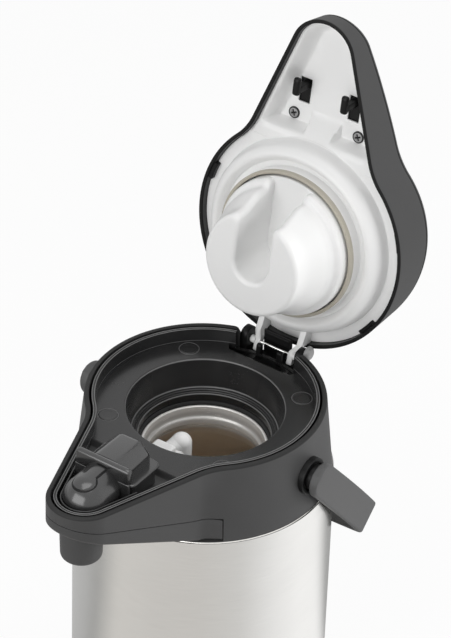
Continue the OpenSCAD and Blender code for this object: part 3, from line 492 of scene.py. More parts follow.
@dataclass(frozen=True)
class ShadedRimPlastic(Plastic):
    """Grey plastic whose rim face is painted black as painted shade."""

    turn: float = -LID_OPEN
    rim: Span = (0.0115, 0.0120)
    shade_black: float = 0.004

    def make(self) -> bpy.types.Material:
        """As other plastic, but painted black as painted shade where the height over the hinge, once turned,
        is below the rim's.

        Returns:
            The material.
        """
        t = Tree(bpy.data.materials.new(self.name))
        fine, colour, rough = self.mottle(t)
        turn = math.radians(self.turn)
        _, y, z = t.axes()
        y, z = y - HINGE_Y * MM, z - (RIM_Z + HINGE_Z) * MM
        # painted shade: the rim band is painted near black
        rim = 1 - (y * -math.sin(turn) + z * math.cos(turn)).step(*self.rim)
        return t.finish({"Base Color": t.mix(rim, colour, grey(self.shade_black)), "Roughness": rough + 0.2 * rim,
                         "Specular IOR Level": self.shine, "Normal": t.bump(fine, self.depth)})


@dataclass(frozen=True)
class DeckPlastic(Plastic):
    """Glossy dark tray with a fine groove round each plug; the groove's ring and the tray's edges are painted
    pale as painted highlight lines.
    """

    plug_xy: float = 0.0464
    plug_r: float = 0.00685
    ring_band: float = 0.0005
    deck: Span = (0.2780, 0.2785)
    # heights of painted highlight lines on the wall's top and at the deck's corner, their pale grey, and the
    # painted highlight lines at the well's mouth and ledges (radius, height, half width)
    wall_top_highlight_z: Span = (0.28925, 0.28935)
    corner_highlight_z: float = 0.28005
    pale: Colour = grey(0.13)
    edges: tuple = ((0.05335, 0.2790, 0.00055), (0.0497, 0.2580, 0.0005), (0.0449, 0.2561, 0.0005))

    def make(self) -> bpy.types.Material:
        """Grooves lie near the radius of the nearest plug, bumped in and painted pale as a painted highlight;
        painted highlight lines lie near the edges' radius and height.

        Returns:
            The material.
        """
        t = Tree(bpy.data.materials.new(self.name))
        fine, slow = t.noise(self.grain), t.noise(45.0, 2.0)
        x, y, z = t.axes()
        away = t.length(*(v.join("ABSOLUTE") - self.plug_xy for v in (x, y)))
        # ring round each plug: bumped in as a real groove, and painted pale as a painted highlight
        ring_band = away.near(self.plug_r, self.ring_band) * z.step(*self.deck)
        # painted highlights: pale lines on the wall's top, at the deck's corner and along the well's edges
        edge = z.step(*self.wall_top_highlight_z) + z.near(self.corner_highlight_z, 0.0003)
        r = t.length(x, y)
        for at, high, half in self.edges:
            edge = edge + r.near(at, half) * z.near(high, 0.0008)
        share = (edge + ring_band * 0.7).join("MINIMUM", 1.0)
        return t.finish({"Base Color": t.mix(share, t.mix(slow, *self.ends()), self.pale),
                         "Roughness": self.rough - 0.05 + 0.06 * fine + 0.06 * slow,
                         "Normal": t.bump(0.05 * fine - ring_band, 0.0003)})


@dataclass(frozen=True)
class BrushedSteel:
    """Steel brushed round its axis."""

    name: str
    colour: Colour
    rough: float
    lines: float = 900.0
    along: float = 5.0
    depth: float = 0.000004
    aniso: float = 0.6

    def brush(self, t: Tree) -> tuple[Val, Val, Val]:
        """Brush lines: noise on (angle, height), far finer along the axis than round it.

        Args:
            t: tree of the finish.
        Returns:
            The lines, the angle round the axis and the height.
        """
        x, y, z = t.axes()
        angle = x.join("ARCTAN2", 0 - y)
        return t.noise(1.0, 4.0, t.vector(angle * self.along, 0.0, z * self.lines)), angle, z

    def make(self) -> bpy.types.Material:
        """Lines and slow bands tint the colour; the lines also give the roughness and the bump.

        Returns:
            The material.
        """
        t = Tree(bpy.data.materials.new(self.name))
        line, angle, z = self.brush(t)
        slow = t.noise(1.0, 2.0, t.vector(angle * 1.5, 0.0, z * 40.0))
        low, high = (tuple(min(1.0, c * k) for c in self.colour) for k in (0.92, 1.06))
        return t.finish({"Base Color": t.mix(0.6 * line + 0.4 * slow, low, high), "Metallic": 1.0,
                         "Roughness": self.rough - 0.03 + 0.06 * line,
                         "Normal": t.bump(line, self.depth), "Anisotropic": self.aniso})


@dataclass(frozen=True)
class SpunLiner(BrushedSteel):
    """Inner steel: pale and dull at the neck, with a darker band of painted shade on its cone; down in the
    vessel a warm brown tint, a painted reflection.
    """

    # warm tint down in the vessel: painted reflection of warm surroundings
    deep: Colour = (0.92, 0.83, 0.72)
    neck_z: Span = (0.2290, 0.2315)
    cone_shade_z: tuple[Span, Span] = ((0.2385, 0.2395), (0.2425, 0.2455))

    def make(self) -> bpy.types.Material:
        """Colour and metal share change at the foot of the neck, and a band on the neck's cone is painted
        darker as painted shade.

        Returns:
            The material.
        """
        t = Tree(bpy.data.materials.new(self.name))
        line, _, z = self.brush(t)
        neck = z.step(*self.neck_z)
        # painted shade: darker band on the neck's cone
        ring_band = z.step(*self.cone_shade_z[0]) * (1 - z.step(*self.cone_shade_z[1]))
        pale = t.mix(ring_band * 0.4, self.colour, tuple(0.35 * c for c in self.colour))
        return t.finish({"Base Color": t.mix(neck, self.deep, pale), "Metallic": 1 - 0.7 * neck,
                         "Roughness": self.rough + 0.25 - 0.3 * neck + 0.1 * line,
                         "Normal": t.bump(line, self.depth)})


@dataclass(frozen=True)
class Finishes:
    """All finishes of the flask, by the record's slots."""

    parts: tuple = (
        ("steel_shell", BrushedSteel("brushed_shell", (0.90, 0.892, 0.872), 0.20,
                                     depth=0.0000012, aniso=0.7)),
        ("steel_liner", SpunLiner("spun_liner", (0.95, 0.93, 0.90), 0.26, 1500.0, 3.0, 0.000006)),
        # the two grey finishes below paint their rim band near black as painted shade
        ("grey_body", ShadedRimPlastic("collar_plastic", grey(0.055, 0.0555), 0.46, shine=0.36, turn=180.0,
                                 rim=(-0.0090, -0.0083), shade_black=0.016)),
        ("grey_lid", ShadedRimPlastic("lid_plastic", grey(0.052, 0.0525), 0.46, shine=0.24)),
        ("grey_handle", Plastic("handle_plastic", grey(0.080, 0.0805), 0.50, shine=0.36)),
        ("black_tray", DeckPlastic("tray_plastic", grey(0.019, 0.0193), 0.24, 900.0, 0.00002)),
        ("black_gloss", Plastic("gloss_plastic", grey(0.022, 0.0223), 0.22, 800.0, 0.000012, 0.2,
                                coat=0.4, shine=0.7)),
        ("black_clip", Plastic("clip_plastic", grey(0.004, 0.0042), 0.42, 1200.0, 0.00003, 0.25, shine=0.22)),
        ("white_plastic", Plastic("white_plastic", grey(0.86, 0.855), 0.34, 1100.0, 0.00002, 0.02)),
        ("clear_plastic", Plastic("clear_plastic", (0.82, 0.84, 0.84), 0.16, 600.0, 0.00001, 0.03,
                                  clear=0.85)),
        ("grey_knob", Plastic("knob_plastic", grey(0.30), 0.38, 1200.0, 0.00003, 0.08)),
        ("bright_steel", BrushedSteel("bright_steel", grey(0.62, 0.61), 0.22, 2600.0, 8.0, aniso=0.0)),
        ("silicone", Plastic("silicone", (0.44, 0.41, 0.345), 0.46, 900.0, 0.00004, 0.06)),
        ("foot_rubber", Plastic("foot_rubber", grey(0.02), 0.75, 1000.0, 0.0001, 0.25)),
    )

    def make(self) -> Paints:
        """Materials by slot."""
        return {slot: finish.make() for slot, finish in self.parts}


@dataclass(frozen=True)
class Outline:
    """Drop-shaped outline of collar and lid: round body, hollow fillets, straight flanks, round nose tip."""

    rim_r: float = 81.0
    nose_l: float = 134.7
    nose_r: float = 24.9
    flank: float = 19.05
    fillet: float = 46.5
    notch_x: float = 25.0
    cover_y: float = -59.0
    counts: tuple[int, ...] = (12, 96, 10, 14, 30, 34)

    def side(self) -> tuple[np.ndarray, np.ndarray, np.ndarray]:
        """Right flank, from the fillet circle that touches it and the round body.

        The fillet's centre lies nose_r + fillet off the line along the flank through the nose's centre,
        and rim_r + fillet off the axis, which gives the flank's length by a quadratic equation.

        Returns:
            The flank's outward normal, its run from front to back, and the fillet's centre.
        """
        phi = math.radians(self.flank)
        normal, back = np.array([math.cos(phi), -math.sin(phi)]), np.array([math.sin(phi), math.cos(phi)])
        both, reach, run = self.nose_r + self.fillet, self.rim_r + self.fillet, self.nose_l * math.cos(phi)
        rest = self.nose_l ** 2 + both ** 2 + 2 * both * self.nose_l * math.sin(phi) - reach ** 2
        line = (run - math.sqrt(run ** 2 - rest)) * back
        return normal, line, np.array([0.0, -self.nose_l]) + both * normal + line

    def half(self) -> Loop:
        """Right half from the back to the nose tip.

        Arcs about the axis, the fillet's centre and the nose's centre with the straight flank
        between; a column is doubled at the notch's edge and at the cover's rear edge.

        Returns:
            Points (n, 2), outward normals (n, 2) and each column's segment number.
        """
        phi, quarter, tip = math.radians(self.flank), math.pi / 2, np.array([0.0, -self.nose_l])
        normal, line, hollow = self.side()
        a_end = math.atan2(hollow[1], hollow[0])
        a_notch = math.acos(self.notch_x / self.rim_r)
        a_cover = math.pi - math.asin((self.cover_y - hollow[1]) / self.fillet)
        k = self.counts

        def arc(a0: float, a1: float, count: int, centre: "np.ndarray | float", r: float,
                face: float) -> tuple[np.ndarray, np.ndarray]:
            """Points and normals of an arc."""
            a = np.linspace(a0, a1, count)
            u = np.column_stack([np.cos(a), np.sin(a)])
            return centre + r * u, face * u

        back = np.linspace(1, 0, k[4])[:, None]
        parts = [arc(quarter, a_notch, k[0], 0.0, self.rim_r, 1),
                 arc(a_notch, a_end, k[1], 0.0, self.rim_r, 1),
                 arc(a_end + math.pi, a_cover, k[2], hollow, self.fillet, -1),
                 arc(a_cover, math.pi - phi, k[3], hollow, self.fillet, -1),
                 (tip + self.nose_r * normal + back * line, np.tile(normal, (k[4], 1))),
                 arc(-phi, -quarter, k[5], tip, self.nose_r, 1)]
        first = (0, 0, 1, 0, 1, 1)
        return (np.concatenate([p[f:] for (p, _), f in zip(parts, first)]),
                np.concatenate([v[f:] for (_, v), f in zip(parts, first)]),
                np.concatenate([np.full(len(p) - f, j) for j, ((p, _), f) in enumerate(zip(parts, first))]))

    def loop(self) -> Loop:
        """Whole outline: the right half, then the left half back to the start."""
        p, v, seg = self.half()
        return tuple(np.concatenate([a, b[-2:0:-1]]) for a, b in ((p, p * FLIP), (v, v * FLIP), (seg, seg)))

    def drawn(self, inset: float) -> np.ndarray:
        """Right half drawn in by inset."""
        p, v, _ = self.half()
        return p - inset * v

    def polar(self, inset: float, angle: np.ndarray, front: float) -> np.ndarray:
        """Distance from the axis of the outline, drawn in and cut straight at the front, at each angle.

        Args:
            inset: distance that it is drawn in.
            angle: angles from +X.
            front: distance of the cut from the axis.
        Returns:
            The distances.
        """
        q = self.drawn(inset)[::-1]
        turn = np.abs((angle + np.pi / 2) % (2 * np.pi) - np.pi)
        r = np.interp(np.pi / 2 - turn, np.arctan2(q[:, 1], q[:, 0]), np.hypot(*q.T))
        ahead = -np.sin(angle)
        return np.where(ahead > 0.3, np.minimum(r, front / np.maximum(ahead, 0.3)), r)

    def width(self, inset: float, y: np.ndarray) -> np.ndarray:
        """Half width of the outline drawn in by inset, at each y in front of the axis."""
        q = self.drawn(inset)[::-1]
        return np.interp(y, *q[q[:, 1] < 0].T[::-1])


def sheet(loop: Loop, steps: "list[tuple] | np.ndarray", grow: "np.ndarray | float" = 0.0) -> np.ndarray:
    """Grid whose rows are an outline, drawn in by inset + grow * height.

    Args:
        loop: points, normals and segments of the outline.
        steps: (inset, height) of each row, as numbers or one per column.
        grow: inset for each unit of height.
    Returns:
        Grid (rows, columns, 3).
    """
    p, v, _ = loop
    inset, z = (np.array([row + np.zeros(len(p)) for row in column]) for column in zip(*steps))
    return np.concatenate([p - (inset + grow * z)[..., None] * v, z[..., None]], -1)


@dataclass
class Assembly:
    """Sub-assembly whose pieces are drawn in one seat and take their finishes by slot."""

    paints: Paints
    seat: Seat = Seat.FLASK

    def skin(self) -> Skin:
        """Empty skin in this seat."""
        return Skin(self.paints, self.seat)


@dataclass
class Vessel(Assembly):
    """Steel walls, a black ring under the collar that paints the shadow line at the joint, and the ring in
    the neck.
    """

    shell_r: float = 88.5
    top_r: float = 86.7
    wall: float = 0.7
    foot: float = -284.0
    head: float = -56.6

    def dress(self) -> None:
        """Turn the outer wall, the inner liner with its rolled lip, the black ring of painted shadow at the
        joint, and the neck ring.
        """
        r, inner = self.shell_r, self.shell_r - self.wall
        top, low = self.head + 0.1, self.head - self.wall
        wall = [(inner, self.foot, 0), (r, self.foot, 0), (r, self.head - 16, 60), (self.top_r, top, 0.3),
                (52, top, 4), (44.4, -49.5, 2), (44.4, -43, 0), (43.6, -43, 0), (43.6, -50.4, 2),
                (52, low, 4), (inner, low, 0)]
        liner = [(43.2, -43.2, 0), (43.2, -42.0, 0.8), (41.2, -42.0, 0.9), (40.9, -49.6, 1.5),
                 (39.2, -51.2, 1.3), (39.2, -55.6, 1.3), (41.3, -57.6, 1.5), (41.5, -65, 4), (80.3, -92, 16),
                 (80.3, -258, 16), (60, -272, 14), (0.0, -272.5, 0), (0.0, -273.2, 0), (60.2, -272.7, 14),
                 (81.0, -258, 16), (81.0, -92, 16), (42.2, -65.6, 4), (42.0, -57.9, 1.5), (39.9, -55.6, 1.3),
                 (39.9, -51.2, 1.3), (41.6, -49.6, 1.5), (41.9, -43.2, 0)]
        # black ring at the collar's foot: painted shadow under the collar's edge, which also covers the steel
        # shoulder's highlight
        joint = [(84.6, -56.7, 0), (86.75, -56.7, 0), (86.6, -56.1, 0.3), (84.6, -55.9, 0)]
        ring = [(43.5, -42.0, 0), (43.5, -39.8, 0.5), (47.4, -39.8, 0.3), (47.4, -42.0, 0)]
        for line, turns, steps, words in ((wall, 288, 9, ("brushed_wall", "steel_shell", "outer_shell")),
                                          (liner, 224, 7, ("spun_liner", "steel_liner", "inner_liner")),
                                          (joint, 224, 3, ("foot_shadow_ring", "foot_rubber")),
                                          (ring, 160, 4, ("neck_ring", "foot_rubber", "neck_gasket"))):
            self.skin().turned(line, turns, steps=steps, closed=True).build(*words)


@dataclass
class Collar(Assembly):
    """Grey collar with its nose, the handle bosses, the cover under the nose and the nozzle."""

    depth: float = 56.5
    flare: float = 5.8
    wall: float = 3.4
    notch_z: float = -20.0
    notch_r: float = 4.0
    seam_y: float = -63.6
    seam_z: float = -41.4
    seam_tilt: float = 18.3
    seam_rise: float = 2.8
    seam_bend: Span = (-78.0, -60.0)
    under_z: float = -60.5
    under_tilt: float = 23.7
    under_r: float = 3.4
    gap: float = 0.6
    steel_r: float = 83.6
    nozzle_y: float = -137.7
    outline: Outline = Outline()

    def spread(self, p: np.ndarray, seg: np.ndarray) -> np.ndarray:
        """Flare for each unit of height: whole on the round part, fading out along the fillet.

        Args:
            p: points of the loop.
            seg: their segment numbers.
        Returns:
            The flare of each column.
        """
        hollow, y = np.isin(seg, (2, 3)), p[:, 1]
        share = np.where(hollow, smooth(y[hollow].min(), y[hollow].max(), y), 0.0)
        return np.where(seg < 2, 1.0, share) * self.flare / self.depth

    def seam(self, y: np.ndarray) -> np.ndarray:
        """Height of the seam over the cover: a tilted line that rises near its rear end."""
        tilted = self.seam_z + (self.seam_y - y) * math.tan(math.radians(self.seam_tilt))
        return tilted + self.seam_rise * smooth(*self.seam_bend, y)

    def under(self, y: np.ndarray) -> np.ndarray:
        """Height of the cover's underside: a tilted line, no lower than the collar's foot."""
        tilted = self.under_z + (self.seam_y - y) * math.tan(math.radians(self.under_tilt))
        return np.maximum(tilted, 0.1 - self.depth)

    def shell(self) -> None:
        """Closed wall: round rim, flared outside, flat foot or seam, and plain inside."""
        loop = self.outline.loop()
        p, _, seg = loop
        edge = soft_path([(self.wall, -6, 0), (self.wall, 0, 0.9), (0, 0, 2.1), (0, -6, 0)], steps=8)
        ax, back = np.abs(p[:, 0]), p[:, 1] > 0
        lift = np.clip((ax - self.outline.notch_x) / self.notch_r, 0, 1)
        corner = -self.notch_r * (1 - np.sqrt(np.clip(1 - (1 - lift) ** 2, 0, 1)))
        beside = back & (ax < self.outline.notch_x + self.notch_r + 0.5)
        top = np.where(back & (seg == 0), self.notch_z, np.where(beside, corner, 0.0))
        seam = self.seam(p[:, 1])
        foot = np.where(seg >= 3, seam + 0.12, -self.depth)
        common = np.maximum(seam + 0.72, 2.0 - self.depth)
        steps = [(i, top + dz) for i, dz in edge]
        for a, b, count in ((top - 6, common, 12), (common, foot + 0.6, 5)):
            steps += [(0.0, a * (1 - u) + b * u) for u in np.linspace(0, 1, count)[1:]]
        low = ((0.18, 0.18), (0.6, 0), (self.wall - 0.3, 0), (self.wall, 0.4))
        steps += [(i, foot + dz) for i, dz in low]
        g = sheet(loop, steps, self.spread(p, seg))
        tilted = g[-5 - len(low):]
        tilted[..., 2] += np.where(seg >= 3, self.seam(tilted[..., 1]) - seam, 0.0)
        self.skin().grid(g, rows=True).build("collar_wall", "grey_body", "collar_shell")

    def bosses(self) -> None:
        """Turned boss and pivot on each side, black as painted shade."""
        line = soft_path([(0, 78.5, 0), (13, 78.5, 0), (13, 87.2, 0.9), (9.9, 87.2, 0.3), (9.7, 86.4, 0.3),
                          (9.0, 86.4, 0.2), (9.0, 90.8, 0.6), (0, 90.8, 0)])
        skin = self.skin()
        for side in (1, -1):
            skin.grid(lathe_x(line * [1, side], PIVOT_Y, PIVOT_Z))
        # black finish on the bosses: painted shade, as they sit in the handle's shadow
        skin.build("shaded_handle_bosses", "black_clip")

    def cover(self) -> None:
        """Cover under the nose: wall below the seam, round lower edge, sloping floor up to the steel wall."""
        p, v, seg = self.outline.loop()
        front = np.flatnonzero(seg >= 3)
        ahead = p[front[1]] - p[front[0]]
        p[front[0]] += self.gap * ahead / np.linalg.norm(ahead)
        p[front[-1]] = p[front[0]] * FLIP
        loop, grow = (p[front], v[front], seg[front]), self.spread(p, seg)[front]
        y, r = loop[0][:, 1], self.under_r
        top, low = self.seam(y) - 0.18, self.under(y)
        steps = [(0.5, top), (0.12, top - 0.12), (0.0, top - 0.5)]
        steps += [(0.0, (top - 0.5) * (1 - u) + (low + r) * u) for u in (0.33, 0.66)]
        steps += [(inset, low + r - rise) for inset, rise in round_edge(r)]
        sweep = len(steps)
        steps += [(i, low) for i in (8, 12, 16, 20, 23.5)]
        g = sheet(loop, steps, grow)
        spine = np.column_stack([0 * y, np.clip(y, -self.outline.nose_l, -self.steel_r), low])
        g = np.concatenate([g, spine[None]])
        away = np.hypot(g[..., 0], g[..., 1])
        inside = (away < self.steel_r) & (np.arange(len(g))[:, None] >= sweep - 2)
        g[..., :2] *= np.where(inside, self.steel_r / np.maximum(away, 1e-6), 1.0)[..., None]
        g[sweep - 1:, :, 2] = self.under(g[sweep - 1:, :, 1])
        upper = g[::-1][:6] + [0, 0, 1.6]
        wall = sheet(loop, [(3.0, low + 4), (3.0, top)], grow)
        self.skin().grid(np.concatenate([g, upper, wall]), cols=False, rows=True).build(
            "nose_cover", "grey_body", "spout_cover")

    def nozzle(self) -> None:
        """Turned nozzle with a round lower edge and a drilled outlet."""
        line = [(0, -30, 0), (5.6, -30, 0), (6.2, -47, 0.8), (13.8, -47, 3.6), (14.6, -16, 0), (0, -16, 0)]
        skin = self.skin().turned(line, 96, (0.0, self.nozzle_y), 9)
        skin.build("nose_nozzle", "grey_body", "spout_nozzle")

    def dress(self) -> None:
        """Build the collar's pieces."""
        for part in (self.shell, self.bosses, self.cover, self.nozzle):
            part()


@dataclass
class Deck(Assembly):
    """Dark tray inside the collar, with the well, the nose floor and the four plugs."""

    level: float = -10.7
    floor: float = -15.0
    under: float = -15.2
    inset: float = 7.0
    front: float = 73.0
    back: float = 62.0
    well_r: float = 56.0
    scoop_x: float = 25.2
    scoop_y: Span = (61.4, 84.0)
    scoop_fall: Span = (61.6, 72.5)
    scoop_deep: float = 7.4
    lip_y: float = -113.0
    plug: float = 46.4
    outline: Outline = Outline(notch_x=26.4)

    def plate(self, skin: Skin) -> None:
        """Deck and well as one closed section carried round the axis; its outer edge follows the tray.

        Args:
            skin: skin that it is added to.
        """
        a, far = circle(320), self.well_r
        s = np.sin(a)
        edge = self.outline.polar(self.inset, a, self.front)
        edge = np.where(s > 0.928, np.minimum(edge, self.back / np.maximum(s, 0.9)), edge)
        well = [(far, self.level, 0), (53.3, self.level, 1.5), (50.0, -32.0, 1.4), (47.35, -32.0, 0.7),
                (46.95, -33.8, 0.6), (44.7, -33.8, 1.0), (44.7, -39.6, 0), (47.6, -39.6, 0),
                (47.6, -36.2, 0), (52.4, -34.4, 0), (far, self.under, 0)]
        steps = [(edge * (1 - u) + far * u, self.level) for u in (0, 0.33, 0.66)]
        skin.grid(rings(a, [*steps, *soft_path(well, steps=7), (edge, self.under)]), rows=True)

    def nose_floor(self) -> None:
        """Lower grey floor of the nose: flat sections across, falling by a smooth step at the front."""
        end = self.outline.nose_l + self.outline.nose_r - self.inset - 0.1
        along = np.concatenate([np.linspace(self.front - 0.6, self.front + 3, 12),
                                np.linspace(self.front + 4, end, 40)])
        w = np.maximum(self.outline.width(self.inset, -along), 0.4)
        z = self.level - 0.1 + (self.floor - self.level) * smooth(self.front, self.front + 2.5, along)
        self.skin().grid(slab(w[:, None] * np.linspace(-1, 1, 13), -along, z), caps=True).build(
            "nose_floor", "grey_body")

    def scoop(self, skin: Skin) -> None:
        """Hollow in front of the hinge: the deck falls along a smooth step towards the back."""
        y = np.linspace(*self.scoop_y, 30)
        z = self.level - 0.05 - self.scoop_deep * smooth(*self.scoop_fall, y)
        skin.grid(slab(np.linspace(-self.scoop_x, self.scoop_x, 9), y, z), caps=True)

    def tray(self, skin: Skin) -> None:
        """Upright wall of the tray: a grooved section carried round the outline, low at the hinge notch.

        Args:
            skin: skin that it is added to.
        """
        loop = self.outline.loop()
        y, seg = loop[0][:, 1], loop[2]
        low, mark = (y > 0) & (seg == 0), np.abs(y - self.lip_y) < 0.9
        line = [(7.3, self.under, 0), (7.3, -0.4, 0.4), (6.6, -0.4, 0.2), (6.4, -1.0, 0.1), (5.8, -1.0, 0.1),
                (5.6, -0.4, 0.2), (4.9, -0.4, 0.4), (4.9, self.under, 0)]
        steps = [(i, np.where(low, min(z, -14.2), np.where(mark, min(z, -1.5), z)))
                 for i, z in soft_path(line, steps=4)]
        skin.grid(sheet(loop, steps), rows=True)

    def lip(self, skin: Skin) -> None:
        """Low lip in the nose: a thin rounded section carried along the flanks and round the tip.

        Args:
            skin: skin that it is added to.
        """
        p, v, seg = self.outline.loop()
        on = np.flatnonzero((seg >= 4) & (p[:, 1] < self.lip_y))
        line = [(10.3, self.under, 0), (10.3, -0.9, 0.5), (9.1, -0.9, 0.5), (9.1, self.under, 0)]
        g = sheet((p[on], v[on], seg[on]), soft_path(line, steps=4))
        skin.grid(np.swapaxes(g, 0, 1), caps=True)

    def plugs(self) -> None:
        """Four discs with soft edges, sunk in the deck."""
        skin = self.skin()
        line = [(0, -12, 0), (6.45, -12, 0), (6.45, -10.45, 0.5), (4.6, -10.4, 1.0), (4.2, -10.5, 0.6),
                (0, -10.5, 0)]
        for x in (-self.plug, self.plug):
            for y in (-self.plug, self.plug):
                skin.turned(line, 48, (x, y))
        skin.build("deck_plug_discs", "black_tray", "deck_plugs")

    def dress(self) -> None:
        """Build the nose floor, the tray and its plugs."""
        self.nose_floor()
        skin = self.skin()
        for part in (self.plate, self.scoop, self.tray, self.lip):
            part(skin)
        skin.build("deck_tray", "black_tray", "collar_deck")
        self.plugs()


@dataclass
class Valve(Assembly):
    """Glossy block on the nose: capsule with its insert, cross flange, rear box and skirt."""

    r: float = 16.0
    z: float = -4.0
    y: float = -132.5
    back: float = -111.5
    foot: float = -15.0
    flange_x: float = 21.5
    flange_y: float = -116.5
    box_x: float = 15.5
    skirt_x: float = 18.5
    head_r: float = 7.6
    head_y: float = -134.5
    neck_x: float = 4.4
    neck_end: float = -117.6

    def capsule(self, skin: Skin) -> None:
        """Half capsule: at latitude b the sides stand r cos b off the axis, at height z + r sin b.

        Args:
            skin: skin that it is added to.
        """
        b = np.concatenate([[-1.0, -0.5], np.linspace(0, np.pi / 2, 22)])[:, None]
        turn = np.linspace(0, np.pi, 48)
        run = self.back + (self.y - self.back) * np.linspace(0, 1, 9)[:-1]
        one = np.ones(len(run))
        cx = np.concatenate([one, np.cos(turn), -one])
        cy = np.concatenate([0 * one, -np.sin(turn), 0 * one])
        y = np.concatenate([run, np.full(len(turn), self.y), run[::-1]])
        r = self.r * np.cos(np.maximum(b, 0))
        z = self.z + np.where(b < 0, (self.z - self.foot) * b, self.r * np.sin(b))
        skin.grid(np.stack([r * cx, y + r * cy, z + 0 * cx], -1), cols=False, out=(0, -0.5, 1))

    def keyhole(self, grow: float, proud: float) -> Skin:
        """Keyhole sheet over the capsule, as wide as a round head and a straight neck.

        Args:
            grow: distance that the outline is let out.
            proud: height over the capsule.
        Returns:
            A closed skin.
        """
        r = self.head_r + grow
        round_end = self.head_y - r * np.cos(np.linspace(0, np.pi * 0.8, 26))
        y = np.concatenate([round_end, np.linspace(self.y + 4.9, self.neck_end, 10)])
        head = np.sqrt(np.maximum(r ** 2 - (y - self.head_y) ** 2, 0.0))
        w = np.where(y > self.head_y, np.maximum(head, self.neck_x + grow), head)
        u = np.linspace(-1, 1, 21)
        x, y = w[:, None] * u, y[:, None] + 0 * u
        rise = np.sqrt(np.clip((1 - np.abs(u)) * 12, 0, 1))
        faces = []
        for lift in (self.r + proud * (0.4 + 0.6 * rise), self.r - 0.8):
            up = np.maximum(lift ** 2 - x ** 2 - np.maximum(self.y - y, 0) ** 2, 0)
            faces.append(np.stack([x, y, self.z + np.sqrt(up)], -1))
        return self.skin().grid(np.concatenate([faces[0], faces[1][:, ::-1]], 1), caps=True)

    def box(self, skin: Skin) -> None:
        """Rear box: a section with cut corners carried along Y and drawn in round its rear end.

        Args:
            skin: skin that it is added to.
        """
        w = self.box_x
        x, z = soft_path([(-w, self.foot, 0), (-w, 8.5, 2.2), (-8.0, 16.0, 2.4), (8.0, 16.0, 2.4),
                          (w, 8.5, 2.2), (w, self.foot, 0)]).T
        rear = [(0, -111.4), (0, -86.6), (0.5, -84.4), (1.5, -83.0), (2.9, -82.2), (4.4, -82.0)]
        rows = [np.column_stack([x * (1 - i / w), np.full(len(x), y), z - i * (z > 0)]) for i, y in rear]
        skin.grid(np.array(rows), caps=True)

    def dress(self) -> None:
        """Build the block, its insert and the dark joint round the insert."""
        skin, wide, low = self.skin(), (-self.flange_x, self.flange_x), self.foot
        self.capsule(skin)
        skin.block(wide, (self.flange_y, -111.0), (4.0, 16.5), 2.2)
        skin.block(wide, (self.flange_y, -114.4), (low, 6.0), 0.8)
        self.box(skin)
        skin.block(wide, (-112.0, -79.2), (-1.0, 1.5), 1.0, 5.5)
        skin.block((-self.skirt_x, self.skirt_x), (-111.4, -80.4), (low, -0.6), 0.8, 4.5)
        skin.build("valve_block", "black_gloss", "valve_housing")
        self.keyhole(0.0, 0.9).build("keyhole_insert", "black_gloss", "valve_cap")
        self.keyhole(0.75, 0.14).build("keyhole_joint", "black_clip")


@dataclass
class Elbow(Assembly):
    """White elbow in the neck, over the rising tube."""

    r: float = 7.0
    y: float = -27.0
    z: float = -24.0
    hose_z: float = -30.0

    def dress(self) -> None:
        """Round head over the socket, a saddle and a horn towards the nose, and the thin end for the hose."""
        t, a = np.linspace(0, np.pi / 2, 14), circle(40)
        dome = np.column_stack([self.r * np.cos(t), self.z + self.r * np.sin(t)])
        socket = np.concatenate([[(5.0, -68.0), (self.r - 0.5, -68.0), (self.r, -67.4)], dome,
                                 [(0.0, self.z + self.r), (0.0, -60.0), (5.0, -60.0)]])
        skin = self.skin().grid(lathe(socket, 64, (0.0, self.y)), rows=True)
        skin.block((-12.4, 3.0), (-46.4, -37.0), (-31.0, -19.6), 1.6)
        horn = np.array([(0, self.y, self.z, 6.9), (-1.4, -29.5, -24.6, 6.6), (-3.0, -32.5, -26.2, 6.0),
                         (-4.8, -36, -27.8, 5.6), (-6.4, -40, -28.6, 5.5), (-7.0, -45, -28.8, 5.4)])
        ring = np.stack([0.89 * np.cos(a), -0.45 * np.cos(a), np.sin(a)], -1)
        skin.grid(horn[:, None, :3] + horn[:, 3:, None] * ring, caps=True)
        hose = np.array([(-52.6, 3.4), (-46.5, 3.4), (-46.0, 3.6), (-38.0, 5.0), (-37.2, 5.5), (-28.0, 5.5)])
        y, r = hose[:, :1], hose[:, 1:]
        skin.grid(np.stack([r * np.cos(a), y + 0 * a, self.hose_z + r * np.sin(a)], -1), caps=True)
        skin.build("tube_bend", "white_plastic", "tube_elbow")


